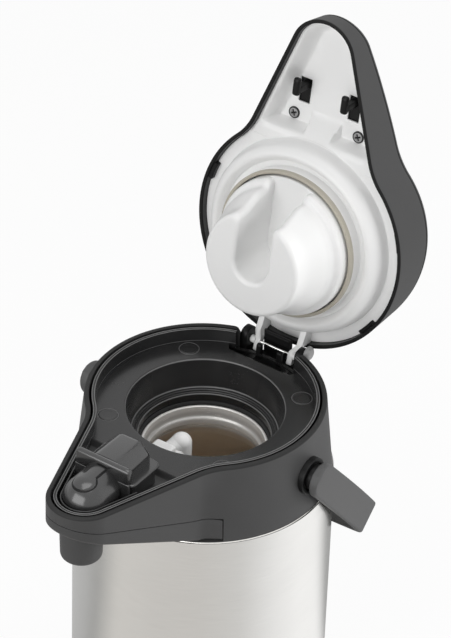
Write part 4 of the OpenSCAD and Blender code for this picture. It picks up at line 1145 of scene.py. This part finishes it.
@dataclass
class Hinge(Assembly):
    """Black bracket at the back of the collar with two lugs, a flap and two prongs; pin and knob."""

    lug_x: Span = (19.5, 24.8)
    prong_x: float = 8.3
    prong_half: float = 1.9
    pin_r: float = 1.1
    knob_y: float = 2.4
    knob_z: float = 5.0

    def bracket(self) -> None:
        """Base plates, lugs with round heads, flap behind the pin, rear stops and prongs."""
        skin = self.skin()
        for x in ((-24.7, -17.3), (-10.7, 10.7), (17.3, 24.7)):
            skin.block(x, (63.5, 86.0), (-20.0, -17.4), 0.6)
        lug = soft_path([(75.9, -18.5, 0), (75.9, -1.9, 6.0), (88.2, -1.9, 6.0), (88.2, -18.5, 0)], True, 10)
        near, far = self.lug_x
        for x in ((near, far), (-far, -near)):
            skin.grid(prism_x(lug, *x, 0.6), caps=True)
        skin.block((-11.2, 11.2), (85.0, 87.2), (-19.0, -0.8), 0.7)
        skin.block((-10.0, 10.0), (84.4, 86.0), (-8.0, -2.2), 0.6)
        for x in ((-far, -16.4), (16.4, far)):
            skin.block(x, (85.2, 87.2), (-20.4, -11.8), 0.5)
        prong = soft_path([(73.4, -18.5, 0), (74.4, -7.0, 1.3), (77.6, -7.0, 1.3), (77.6, -18.5, 0)], True)
        for x in (-self.prong_x, self.prong_x):
            skin.grid(prism_x(prong, x - self.prong_half, x + self.prong_half, 0.6), caps=True)
        skin.build("hinge_bracket_black", "black_clip", "hinge_bracket")

    def dress(self) -> None:
        """Build the bracket, and turn the pin and the knob."""
        self.bracket()
        rod = np.array([(0, -25.8), (self.pin_r, -25.8), (self.pin_r, 25.2), (0, 25.2)])
        self.skin().grid(lathe_x(rod, HINGE_Y, HINGE_Z)).build("pin_rod", "bright_steel", "hinge_pin")
        cap = soft_path([(0, 24.7, 0), (5.3, 24.7, 0.3), (5.3, 26.6, 1.0), (3.4, 28.4, 1.0), (0, 28.6, 0)])
        g = lathe_x(cap, HINGE_Y + self.knob_y, HINGE_Z + self.knob_z)
        self.skin().grid(g).build("pin_cap", "grey_knob", "hinge_knob")


@dataclass
class Handle(Assembly):
    """Strap handle: two bowed arms, round corners and an arched grip."""

    seat: Seat = Seat.HANDLE
    width: float = 24.0
    thick: float = 5.4
    arm: float = 96.5
    bow_r: float = 872.7
    lean: float = 2.9
    arch_r: float = 193.9
    arch_s: float = -43.7
    corner: float = 13.0
    pivot_x: float = 91.15

    def path(self) -> tuple[np.ndarray, np.ndarray]:
        """Outer line of the strap in its plane (x, s), from one pivot end to the other.

        Two large arcs bow the arms, one arc arches the grip, and circles of the corner radius join them.

        Returns:
            Points (n, 2) and outward normals (n, 2).
        """
        lean, r = math.radians(self.lean), self.bow_r
        bow = np.array([self.arm - r * math.cos(lean), -r * math.sin(lean)])
        arch = np.array([0.0, self.arch_s])
        ra, rb, gap = r - self.corner, self.arch_r - self.corner, arch - bow
        dist = np.linalg.norm(gap)
        u = gap / dist
        m = (dist ** 2 + ra ** 2 - rb ** 2) / (2 * dist)
        mid = bow + m * u + math.sqrt(ra ** 2 - m ** 2) * np.array([-u[1], u[0]])
        a_bow, a_arch = math.atan2(*(mid - bow)[::-1]), math.atan2(*(mid - arch)[::-1])
        start = math.asin((-self.width / 2 - bow[1]) / r)
        arm = np.concatenate([np.linspace(start, start + 30 / r, 24), np.linspace(start + 32 / r, a_bow, 30)])
        turns = (arm, np.linspace(a_bow, a_arch, 14)[1:], np.linspace(a_arch, np.pi / 2, 32)[1:])
        vec = [np.column_stack([np.cos(a), np.sin(a)]) for a in turns]
        pts = np.concatenate([bow + r * vec[0], mid + self.corner * vec[1], arch + self.arch_r * vec[2]])
        return tuple(np.concatenate([a, (a * FLIP)[-2::-1]]) for a in (pts, np.concatenate(vec)))

    def dress(self) -> None:
        """Rounded section carried along the path; at the pivots its width follows a half circle."""
        p, n = self.path()
        half, along = self.width / 2, p[:, 1]
        w = np.where(along < 0, np.sqrt(np.maximum(half ** 2 - along ** 2, 0.02)), half)
        depth, across = soft_path([(0, -half, 2.4), (0, half, 2.4), (self.thick, half, 1.4),
                                   (self.thick, -half, 1.4)], closed=True, steps=8).T
        xy = p[:, None] - depth[:, None] * n[:, None]
        x = xy[..., 0]
        inside = (np.abs(along)[:, None] < half + 0.5) & (depth > 4.0)
        xy[..., 0] = np.where(inside, np.sign(x) * np.maximum(np.abs(x), self.pivot_x), x)
        z = across * (w / half)[:, None]
        skin = self.skin().grid(np.concatenate([xy, z[..., None]], -1), caps=True)
        skin.build("strap_handle", "grey_handle", "carry_handle")


@dataclass
class Lid(Assembly):
    """Grey lid: drafted wall, seam near its top edge, crowned top, bezel, button and latch slide."""

    seat: Seat = Seat.LID
    gap: float = 0.6
    wall: float = 2.6
    draft: float = 0.0844
    edge_r: float = 5.0
    crown_r: float = 363.9
    crown_at: Span = (-27.89, -318.23)
    bezel_r: float = 53.8
    slot_x: float = 13.4
    slot_y: Span = (-123.2, -102.8)
    flank_y: Span = (-142.0, -72.0)
    hook_x: float = 19.0
    outline: Outline = Outline(notch_x=18.0)

    def crown(self, y: np.ndarray) -> np.ndarray:
        """Height of the crown: a circle seen from the side."""
        return self.crown_at[1] + np.sqrt(self.crown_r ** 2 - (y - self.crown_at[0]) ** 2)

    def outside(self, loop: Loop, head: np.ndarray) -> np.ndarray:
        """Rows from the rim up the drafted wall, over a fine seam and round the upper edge.

        Args:
            loop: the lid's outline.
            head: height of the upper edge's foot at each column.
        Returns:
            Grid (rows, columns, 3).
        """
        foot, w = self.gap, self.wall
        rim = ((w, 3.0), (w, 0.5), (w - 0.4, 0.0), (0.5, 0.0), (0.1, 0.15), (0.0, 0.6))
        steps = [(i, foot + dz) for i, dz in rim]
        steps += [(0.0, (foot + 0.6) * (1 - u) + (head - 1.1) * u) for u in np.linspace(0, 1, 10)[1:]]
        steps += [(i, head + dz) for i, dz in ((0.9, -0.85), (0.9, -0.3), (0.0, -0.05))]
        steps += [(inset, head + rise) for inset, rise in round_edge(self.edge_r, 84)]
        return sheet(loop, [(i - self.draft * foot, z) for i, z in steps], self.draft)

    def top(self, rim: np.ndarray, seg: np.ndarray, inner: np.ndarray) -> np.ndarray:
        """Rows across the crown from the wall to the bezel; two of them pass the slot of the latch.

        Args:
            rim: points (n, 2) where the wall ends.
            seg: their segment numbers.
            inner: points (n, 2) on the bezel.
        Returns:
            Grid (rows, columns, 3).
        """
        tip, flank = (seg == 5)[:, None], (seg == 4)[:, None]
        x = self.slot_x * rim[:, :1] / np.abs(rim[tip[:, 0], 0]).max()
        side = self.slot_x * np.sign(rim[:, :1])
        front, back = self.flank_y
        share = np.clip((rim[:, 1:] - front) / (back - front), 0, 1)
        stops = [rim]
        for y, part in zip(self.slot_y, (0.45, 0.75)):
            ray = rim * (1 - part) + inner * part
            beside = np.hstack([side, 0 * side + y]) * (1 - share) + ray * share
            stops.append(np.where(tip, np.hstack([x, 0 * x + y]), np.where(flank, beside, ray)))
        stops.append(inner)
        rows = [a * (1 - u) + b * u for a, b in zip(stops[:-1], stops[1:]) for u in (0.25, 0.5, 0.75, 1.0)]
        return np.array([np.column_stack([q, self.crown(q[:, 1])]) for q in rows])

    def shell(self) -> None:
        """Closed wall and top.

        Rows run up the outside, across the crown to the bezel, down the bore and back inside; the
        cells of the latch slot are left out, and its edge is closed.
        """
        loop = self.outline.loop()
        p, _, seg = loop
        head = self.crown(p[:, 1]) - self.edge_r
        outer = self.outside(loop, head)
        rim = outer[-1, :, :2]
        c = rim / np.linalg.norm(rim, axis=1, keepdims=True)
        top = self.top(rim, seg, c * self.bezel_r)
        bezel = soft_path([(self.bezel_r, 44, 0), (self.bezel_r, 49, 1.4), (49.0, 49, 1.0), (49.0, 23, 0),
                           (53.0, 23, 0), (53.0, 40, 0)])
        ring = np.array([np.column_stack([c * r, np.full(len(p), z)]) for r, z in bezel])
        thick = np.array([0, 0, self.wall])
        inside = sheet(loop, [(self.wall + self.edge_r + self.draft * head, head + 1.5),
                              (self.wall + self.draft * (head - 3), head - 3)])
        g = np.concatenate([outer, top, ring, top[::-1] - thick, inside])
        tip, keep = seg == 5, np.ones(g.shape[:2], bool)
        first = len(outer) + 3
        below = len(outer) + len(top) + len(ring) + 4
        for row in (first, below):
            keep[row:row + 4, tip & np.roll(tip, -1)] = False
        cols = np.flatnonzero(tip)
        ends = g[first:first + 5]
        hole = np.concatenate([ends[0, cols], ends[1:, cols[-1]], ends[4, cols[-2::-1]],
                               ends[3:0:-1, cols[0]]])
        skin = self.skin().grid(g, rows=True, keep=keep)
        skin.grid(np.stack([hole, hole - thick]), out=(0, 0, 1))
        skin.build("lid_wall", "grey_lid", "lid_shell", angle=32)

    def button(self) -> None:
        """Turned button with a crowned top, a skirt and a hollow stem."""
        line = [(0, 55.9, 0), (34.4, 55.2, 6), (45.2, 53.2, 3), (48.4, 50.6, 1.6), (48.4, 40, 0.6),
                (45.4, 40, 0.6), (45.4, 49.6, 1), (14, 51.2, 1), (14, 30.8, 0), (11, 30.8, 0), (11, 51.6, 0),
                (0, 52.2, 0)]
        self.skin().turned(line, 160).build("push_button", "grey_lid", "pump_button", body="button")

    def slide(self) -> None:
        """Latch slide with three finger ridges."""
        mid, pitch = -116.0, 3.4
        head = float(self.crown(np.array(mid))) + 1.2
        skin = self.skin().block((-13, 13), (mid - 6, mid + 6), (23.8, head), 0.9)
        for y in (mid - pitch, mid, mid + pitch):
            skin.block((-10.5, 10.5), (y - 0.8, y + 0.8), (head - 0.6, head + 1.4), 0.5)
        skin.build("latch_slide_thumb", "black_gloss", "latch_thumb", body="latch")

    def hooks(self) -> None:
        """Carrier plate with two rounded hooks."""
        skin = self.skin().block((-24, 24), (-118, -92), (20.8, 23.4), 0.5)
        for x in (-self.hook_x, self.hook_x):
            wide = (x - 2.5, x + 2.5)
            skin.block(wide, (-104, -99), (5.0, 21.5), 0.9).block(wide, (-110.4, -97.6), (3.6, 8.0), 1.7)
        skin.build("hook_pair", "black_clip", "latch_hooks", body="latch")

    def dress(self) -> None:
        """Build the lid's outer pieces."""
        for part in (self.shell, self.button, self.slide, self.hooks):
            part()


@dataclass
class Liner(Assembly):
    """White underside of the lid: border, pocketed nose, round bulge and hinge arms."""

    seat: Seat = Seat.LID
    level: float = 5.0
    deep: float = 18.5
    edge: float = 3.1
    front: float = 66.0
    bulge_r: float = 68.0
    slot_x: Span = (15.0, 24.0)
    slot_y: Span = (-106.0, -88.0)
    wall_run: Span = (1.6, 8.5)
    pocket_x: Span = (9.0, 12.5)
    pocket_y: Span = (69.6, 74.2)
    ramp_y: Span = (66.0, 86.0)
    screw_at: Span = (25.6, -78.5)
    clip_r: float = 78.1
    hollow: Span = (91.33, -88.98)
    outline: Outline = Outline(notch_x=18.0)

    def border(self, skin: Skin) -> None:
        """Flat border between the lid's wall and the bulge, carried round the axis.

        Args:
            skin: skin that it is added to.
        """
        a = circle(320)
        out = self.outline.polar(self.edge, a, self.front)
        ahead = np.sin(a) < -0.75
        level, bend = self.level + np.where(ahead, 0.08, 0.0), np.where(ahead, 0.0, 1.0)
        half_way = (np.minimum(out, self.bulge_r + 1) + self.bulge_r) / 2
        steps = [(out, 1.2), (out - 0.3, 0.3), (out - 1.2, 0.0), (half_way, 0.0), (self.bulge_r, 0.0)]
        skin.grid(rings(a, [(r, level + bend * z) for r, z in steps]), out=(0, 0, -1))

    def nose(self, skin: Skin) -> None:
        """Pocketed nose as a height field.

        The floor lies deeper than the border; it rises to it near the edge, along a ramp between the
        two pockets, and at the pockets' rear walls. Its distance from the outline is that from the
        nose's arc, the flank or the fillet about hollow. Two slots for the hooks are left out.

        Args:
            skin: skin that it is added to.
        """
        shape, (near, far) = self.outline, self.slot_x
        low, high = -self.slot_y[1], -self.slot_y[0]
        y = -np.concatenate([np.linspace(60.5, low, 44), np.linspace(low, high, 19)[1:],
                             np.linspace(high, 156.4, 64)[1:]])
        w = np.maximum(shape.width(self.edge, y), 0.3)
        k = np.minimum(1, w / 28.0)
        knots = np.stack([0 * w, near * k, far * k, w], 1)
        u, cells = np.linspace(0, 1, 13), 12
        x = np.concatenate([knots[:, j:j + 1] * (1 - u[s:]) + knots[:, j + 1:j + 2] * u[s:]
                            for j, s in ((0, 0), (1, 1), (2, 1))], 1)
        x = np.concatenate([-x[:, :0:-1], x], 1)
        y = y[:, None] + 0 * x
        phi, ax, dy = math.radians(shape.flank), np.abs(x), y + shape.nose_l
        beside = ax * math.cos(phi) - dy * math.sin(phi)
        before = ax * math.sin(phi) + dy * math.cos(phi) < 0
        inset = shape.nose_r - np.where(before, np.hypot(x, dy), beside)
        behind = y > self.hollow[1] + shape.fillet * math.sin(phi)
        away = np.hypot(ax - self.hollow[0], y - self.hollow[1])
        inset = np.where(behind, away - shape.fillet, inset)
        wall = smooth(*self.wall_run, inset - self.edge)
        pocket = smooth(*self.pocket_y, -y) * smooth(*self.pocket_x, ax)
        z = self.level + (self.deep - self.level) * wall * np.maximum(pocket, smooth(*self.ramp_y, -y))
        mid = (y[:-1, 0] + y[1:, 0]) / 2
        cols = np.arange(x.shape[1] - 1)
        cols = np.minimum(cols, cols[::-1])
        hole = ((mid < -low) & (mid > -high))[:, None] & ((cols >= cells) & (cols < 2 * cells))
        skin.grid(np.stack([x, y, z], -1), cols=False, out=(0, 0, -1), keep=~hole)

    def bulge(self, skin: Skin) -> None:
        """Round bulge, groove and the tube that carries the seal, turned.

        Args:
            skin: skin that it is added to.
        """
        line = [(70.0, 5.2, 0), (69.2, 4.8, 1.6), (67.4, -5.0, 6), (63.0, -9.6, 3.0), (60.0, -9.6, 3.0),
                (57.0, -6.4, 2), (56.6, -4.0, 0.8), (52.6, -4.0, 0.6), (52.4, -12.0, 0.4), (50.6, -12.0, 0.4),
                (50.6, -4.0, 0.4), (49.3, -4.0, 0)]
        skin.turned(line, 224, steps=8, out=(0, 0, -1))

    def arms(self) -> None:
        """Two hinge arms: webs that rise from the border, step inwards and end in a tail past the pin."""
        line = [(60.0, 5.4, 0), (60.0, -0.6, 0), (65.0, -3.4, 3), (74.5, -6.6, 4), (80.6, -12.0, 2.5),
                (89.0, -12.8, 0.8), (89.0, -8.8, 0.8), (82.4, -7.0, 2), (76.6, -0.4, 2), (75.4, 5.4, 0)]
        web = soft_path(line, closed=True, steps=7)
        hub = soft_path([(0, 15.0, 0), (2.7, 15.0, 0), (2.7, 19.2, 0.6), (0, 19.2, 0)], steps=4)
        arm = prism_x(web, 11.5, 15.8, 0.7)
        arm[..., 0] += 3.2 * smooth(80.6, 75.0, arm[..., 1])
        skin = self.skin()
        for hand in (1, -1):
            skin.grid(arm * [hand, 1, 1], caps=True).grid(lathe_x(hub * [1, hand], HINGE_Y, HINGE_Z, 40))
        skin.build("hinge_arms", "white_plastic")

    def screws(self) -> None:
        """Cross-head screws in dark rings: domed discs with a height dip where either arm of a cross runs,
        over a black disc that paints the shade in the cross's recess.
        """
        heads, collars, recess_shade = self.skin(), self.skin(), self.skin()
        r = np.array([0.02, 0.35, 0.7, 1.05, 1.4, 1.75, 2.1, 2.5, 2.9, 3.1, 3.25, 3.3])[:, None]
        a, turn, down = circle(96), 0.4, (0, 0, -1)
        x, y = np.abs(r * np.cos(a + turn)), np.abs(r * np.sin(a + turn))
        bars = [smooth(0.75, 0.4, across) * smooth(2.5, 2.1, along) for across, along in ((x, y), (y, x))]
        z = 16.9 + 0.06 * r ** 2 + 1.4 * np.maximum(*bars)
        z[-1] = 18.9
        ring = [(3.2, 18.9, 0), (3.2, 17.5, 0.3), (4.2, 17.5, 0.3), (4.2, 18.9, 0)]
        for side in (-1, 1):
            at = (side * self.screw_at[0], self.screw_at[1])
            heads.grid(rings(a, list(zip(r, z))) + [*at, 0.0], out=down)
            # black disc under each head: painted shade, seen where the cross dips
            recess_shade.grid(rings(a, [(0.82 * v, 17.75) for v in r]) + [*at, 0.0], out=down)
            collars.turned(ring, 64, at, 3, out=down)
        heads.build("cross_screws", "grey_knob", "liner_screws")
        recess_shade.build("cross_recess_shade", "black_clip")
        collars.build("screw_rings", "grey_body")

    def clips(self) -> None:
        """Four clips in the angle of wall and border: rounded sections carried along short arcs."""
        skin, out = self.skin(), self.clip_r
        for turn, deep, foot in ((-17, 1.4, 2.8), (37, 2.7, 1.2), (143, 2.7, 1.2), (197, 2.9, 1.2)):
            line = [(out, foot, 0.3), (out - deep, foot, 0.5), (out - deep, 5.3, 0.2), (out, 5.3, 0.2)]
            a = math.radians(turn) + np.linspace(-0.085, 0.085, 9)
            g = rings(a, soft_path(line, closed=True, steps=4))
            skin.grid(np.swapaxes(g, 0, 1), caps=True)
        skin.build("rim_clips", "black_clip", "liner_clips")

    def backs(self) -> None:
        """Black plates behind the hook slots, inside the lid."""
        skin = self.skin()
        for x in ((-27.0, -12.0), (12.0, 27.0)):
            skin.block(x, (-107.5, -86.5), (20.2, 21.0), 0.3)
        skin.build("slot_backs", "black_clip")

    def dress(self) -> None:
        """Build the liner, its arms, screws and clips, and the seal."""
        skin = self.skin()
        for part in (self.border, self.nose, self.bulge):
            part(skin)
        skin.build("lid_underside", "white_plastic", "lid_liner", wall=1.4)
        for part in (self.arms, self.screws, self.backs, self.clips):
            part()
        seal = [(49.9, -11.6, 0), (49.9, -15.4, 1.1), (52.4, -15.4, 1.1), (52.4, -11.6, 0)]
        self.skin().turned(seal, 224, closed=True).build("seal_ring", "silicone", "cup_seal")


@dataclass
class Cup(Assembly):
    """White cup that plugs the neck: skirt, waist and slotted barrel."""

    seat: Seat = Seat.LID
    r: float = 48.9
    slot: float = 13.0
    bend: float = 4.0
    roof: float = -16.4
    face: float = -57.0
    face_r: float = 36.8
    face_edge: float = 3.0

    def ring(self, r: float, inset: float) -> np.ndarray:
        """Horseshoe: circle with a round-ended slot, its corners rounded by circles.

        Args:
            r: outer radius.
            inset: distance that the material is drawn in all round.
        Returns:
            Closed loop (n, 2).
        """
        r, x, bend = r - inset, self.slot + inset, self.bend
        hub = np.array([-x - bend, -math.sqrt((r - bend) ** 2 - (x + bend) ** 2)])

        def arc(a0: float, a1: float, count: int) -> np.ndarray:
            """Points of the unit circle between two angles."""
            a = np.linspace(a0, a1, count)
            return np.column_stack([np.cos(a), np.sin(a)])

        half = math.asin((x + bend) / (r - bend))
        outer = r * arc(half - math.pi / 2, 3 * math.pi / 2 - half, 120)
        curl = hub + bend * arc(math.atan2(hub[1], hub[0]) + 2 * math.pi, 2 * math.pi, 12)
        t = np.linspace(0, 1, 12)[:, None]
        wall = np.array([-x, hub[1]]) * (1 - t) + np.array([-x, 0.0]) * t
        end = x * arc(math.pi, 0, 40)
        return np.concatenate([outer, curl[1:], wall[1:], end[1:-1], (wall * FLIP)[::-1],
                               (curl * FLIP)[-2:0:-1]])

    def dress(self) -> None:
        """Turn the skirt, loft the slotted barrel, and round its face's edge."""
        skirt = [(0, -13.3, 0), (46.5, -13.3, 0), (46.5, 0, 0), (self.r, 0, 0.5), (self.r, self.roof, 0),
                 (0, self.roof, 0)]
        skin = self.skin().turned(skirt, 200, steps=8)
        line = [(self.r, self.roof, 0), (self.r, -21.6, 3.0), (44.3, -23.8, 2.0), (44.0, -31.4, 3.0),
                (38.2, -44.6, 3.0), (37.2, -49.0, 0)]
        steps = [(r, 0.0, z) for r, z in soft_path(line, steps=8)]
        top = self.face + self.face_edge
        steps += [(self.face_r, inset, top - rise) for inset, rise in round_edge(self.face_edge)]
        rows = [(self.ring(r, inset), z) for r, inset, z in steps]
        skin.grid(np.array([np.column_stack([q, np.full(len(q), z)]) for q, z in rows]), caps=True)
        skin.build("plug_cup", "white_plastic", "bellows_cup", angle=34)


def look_matrix(x: np.ndarray, y: np.ndarray, z: np.ndarray, at: np.ndarray) -> Matrix:
    """Matrix of an object with these axes at that place, in metres."""
    m = np.eye(4)
    m[:3] = np.column_stack([x, y, z, at])
    return Matrix(m.tolist())


@dataclass
class Studio:
    """Camera, lamps, world and floor; the floor's tones are what the steel mirrors, by direction."""

    tilt: float = 35.85
    turn: float = 33.78
    roll: float = 2.0
    offset: Triple = (-13.077, -49.697, 2327.35)
    lens: float = 197.31
    ambient: float = 0.24
    floor_half: float = 20.0
    tones: tuple = ((-180.0, grey(0.52)), (-133.0, grey(0.53)), (-102.0, grey(0.46)),
                    (-88.0, grey(0.36, 0.355)), (-66.0, (0.66, 0.645, 0.62)), (-31.0, (0.61, 0.595, 0.575)),
                    (0.0, (0.60, 0.585, 0.565)), (31.0, (0.65, 0.645, 0.635)), (57.0, grey(0.86)),
                    (84.0, grey(1.0)), (109.0, grey(1.0)), (128.0, grey(0.34)))

    def camera(self) -> None:
        """Camera of the photograph: axes from its turn, tilt and roll, and its place from the offset."""
        a, e, roll = (math.radians(v) for v in (self.turn, self.tilt, self.roll))
        level = np.array([math.cos(a), math.sin(a), 0])
        back = np.array([math.sin(a) * math.cos(e), -math.cos(a) * math.cos(e), math.sin(e)])
        rise = np.cross(back, level)
        right = math.cos(roll) * level + math.sin(roll) * rise
        up = math.cos(roll) * rise - math.sin(roll) * level
        place = self.offset[2] * back - self.offset[0] * right - self.offset[1] * up + [0, 0, RIM_Z]
        data = bpy.data.cameras.new("photo_camera")
        data.lens, data.sensor_width, data.clip_end = self.lens, 36.0, 50.0
        eye = show("photo_camera", data)
        eye.matrix_world = look_matrix(right, up, back, place * MM)
        bpy.context.scene.camera = eye

    def lamp(self, name: str, at: Triple, size: Span, watts: float,
             look: Triple = (0.0, 0.02, 0.3)) -> bpy.types.Object:
        """Area lamp at a place, turned towards a point.

        Args:
            name: its name.
            at: its place in metres.
            size: its sides in metres.
            watts: its power.
            look: the point that it faces.
        Returns:
            The lamp.
        """
        data = bpy.data.lights.new(name, "AREA")
        data.shape, data.energy = "RECTANGLE", watts
        data.size, data.size_y = size
        lamp = show(name, data)
        z = np.array(at) - np.array(look)
        z = z / np.linalg.norm(z)
        x = np.cross([0, 0, 1], z)
        x = x / np.linalg.norm(x)
        lamp.matrix_world = look_matrix(x, np.cross(z, x), z, at)
        return lamp

    def world(self) -> None:
        """White for camera, glossy and transmission rays, and the ambient level for the rest."""
        t = Tree(bpy.data.worlds.new("studio"))
        seen, _ = t.seen()
        level = seen * (1.0 - self.ambient) + self.ambient
        sky = t.node("ShaderNodeBackground", {}, {"Color": (1.0, 1.0, 1.0, 1.0), "Strength": level})
        t.output(sky, "ShaderNodeOutputWorld")
        bpy.context.scene.world = t.owner

    def floor(self) -> None:
        """Pale floor: mostly white light for camera, glossy and transmission rays, and shaded for the rest.

        Mirrored in the steel it has the tone of its direction: the angle, from above, to the camera's.
        """
        t = Tree(bpy.data.materials.new("pale_floor"))
        seen, mirrored = t.seen()
        matte = t.node("ShaderNodeBsdfDiffuse", {}, {"Color": (0.85, 0.85, 0.85, 1.0)})
        x, y, _ = t.axes()
        a = math.radians(self.turn)
        ahead, aside = x * math.sin(a) - y * math.cos(a), x * math.cos(a) + y * math.sin(a)
        turn = aside.join("ARCTAN2", ahead) * (0.5 / math.pi) + 0.5
        stops = [(0.5 + degrees / 360.0, colour) for degrees, colour in self.tones]
        tones = t.node("ShaderNodeValToRGB", {"stops": stops}, {"Fac": turn})
        colour = t.mix(mirrored, grey(1.0), tones)
        white = t.node("ShaderNodeEmission", {}, {"Color": colour, "Strength": 1.0})
        t.output(t.node("ShaderNodeMixShader", {}, {0: seen * 0.93, 1: matte, 2: white}))
        h = self.floor_half
        mesh = bpy.data.meshes.new("floor")
        mesh.from_pydata([(-h, -h, 0), (h, -h, 0), (h, h, 0), (-h, h, 0)], [], [(0, 1, 2, 3)])
        mesh.materials.append(t.owner)
        plane = show("floor", mesh)

    def set_up(self) -> None:
        """Set up camera, world, floor, lamps and view transform."""
        self.camera()
        self.world()
        self.floor()
        self.lamp("key", (1.5, 1.0, 0.9), (1.6, 1.2), 28.0).visible_glossy = False
        self.lamp("front", (-0.2, -2.2, 1.2), (2.4, 1.6), 31.0)
        self.lamp("top", (0.1, -0.1, 2.3), (1.4, 1.4), 12.0)
        bpy.context.scene.view_settings.view_transform = "Standard"


def dress_nodes(nodes: dict[str, bpy.types.Object], record: dict, paints: Paints) -> None:
    """Give every CAD node the finish of its slot.

    Args:
        nodes: CAD objects by name.
        record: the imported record.
        paints: materials by slot.
    """
    for entry in record["subparts"]:
        data = nodes[entry["node"]].data
        data.materials.clear()
        data.materials.append(paints[entry["material_slot"]])
        LOG.info("node %s: %s", entry["node"], entry["material_slot"])


def main() -> None:
    """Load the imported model, build every sub-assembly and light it."""
    logging.basicConfig(level=logging.INFO, format="%(message)s")
    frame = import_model()
    paints = Finishes().make()
    dress_nodes(frame["nodes"], frame["record"], paints)
    for kind in (Vessel, Collar, Deck, Valve, Elbow, Hinge, Handle, Lid, Liner, Cup):
        kind(paints).dress()
        LOG.info("%s done", kind.__name__)
    Studio().set_up()


if __name__ == "__main__":
    main()
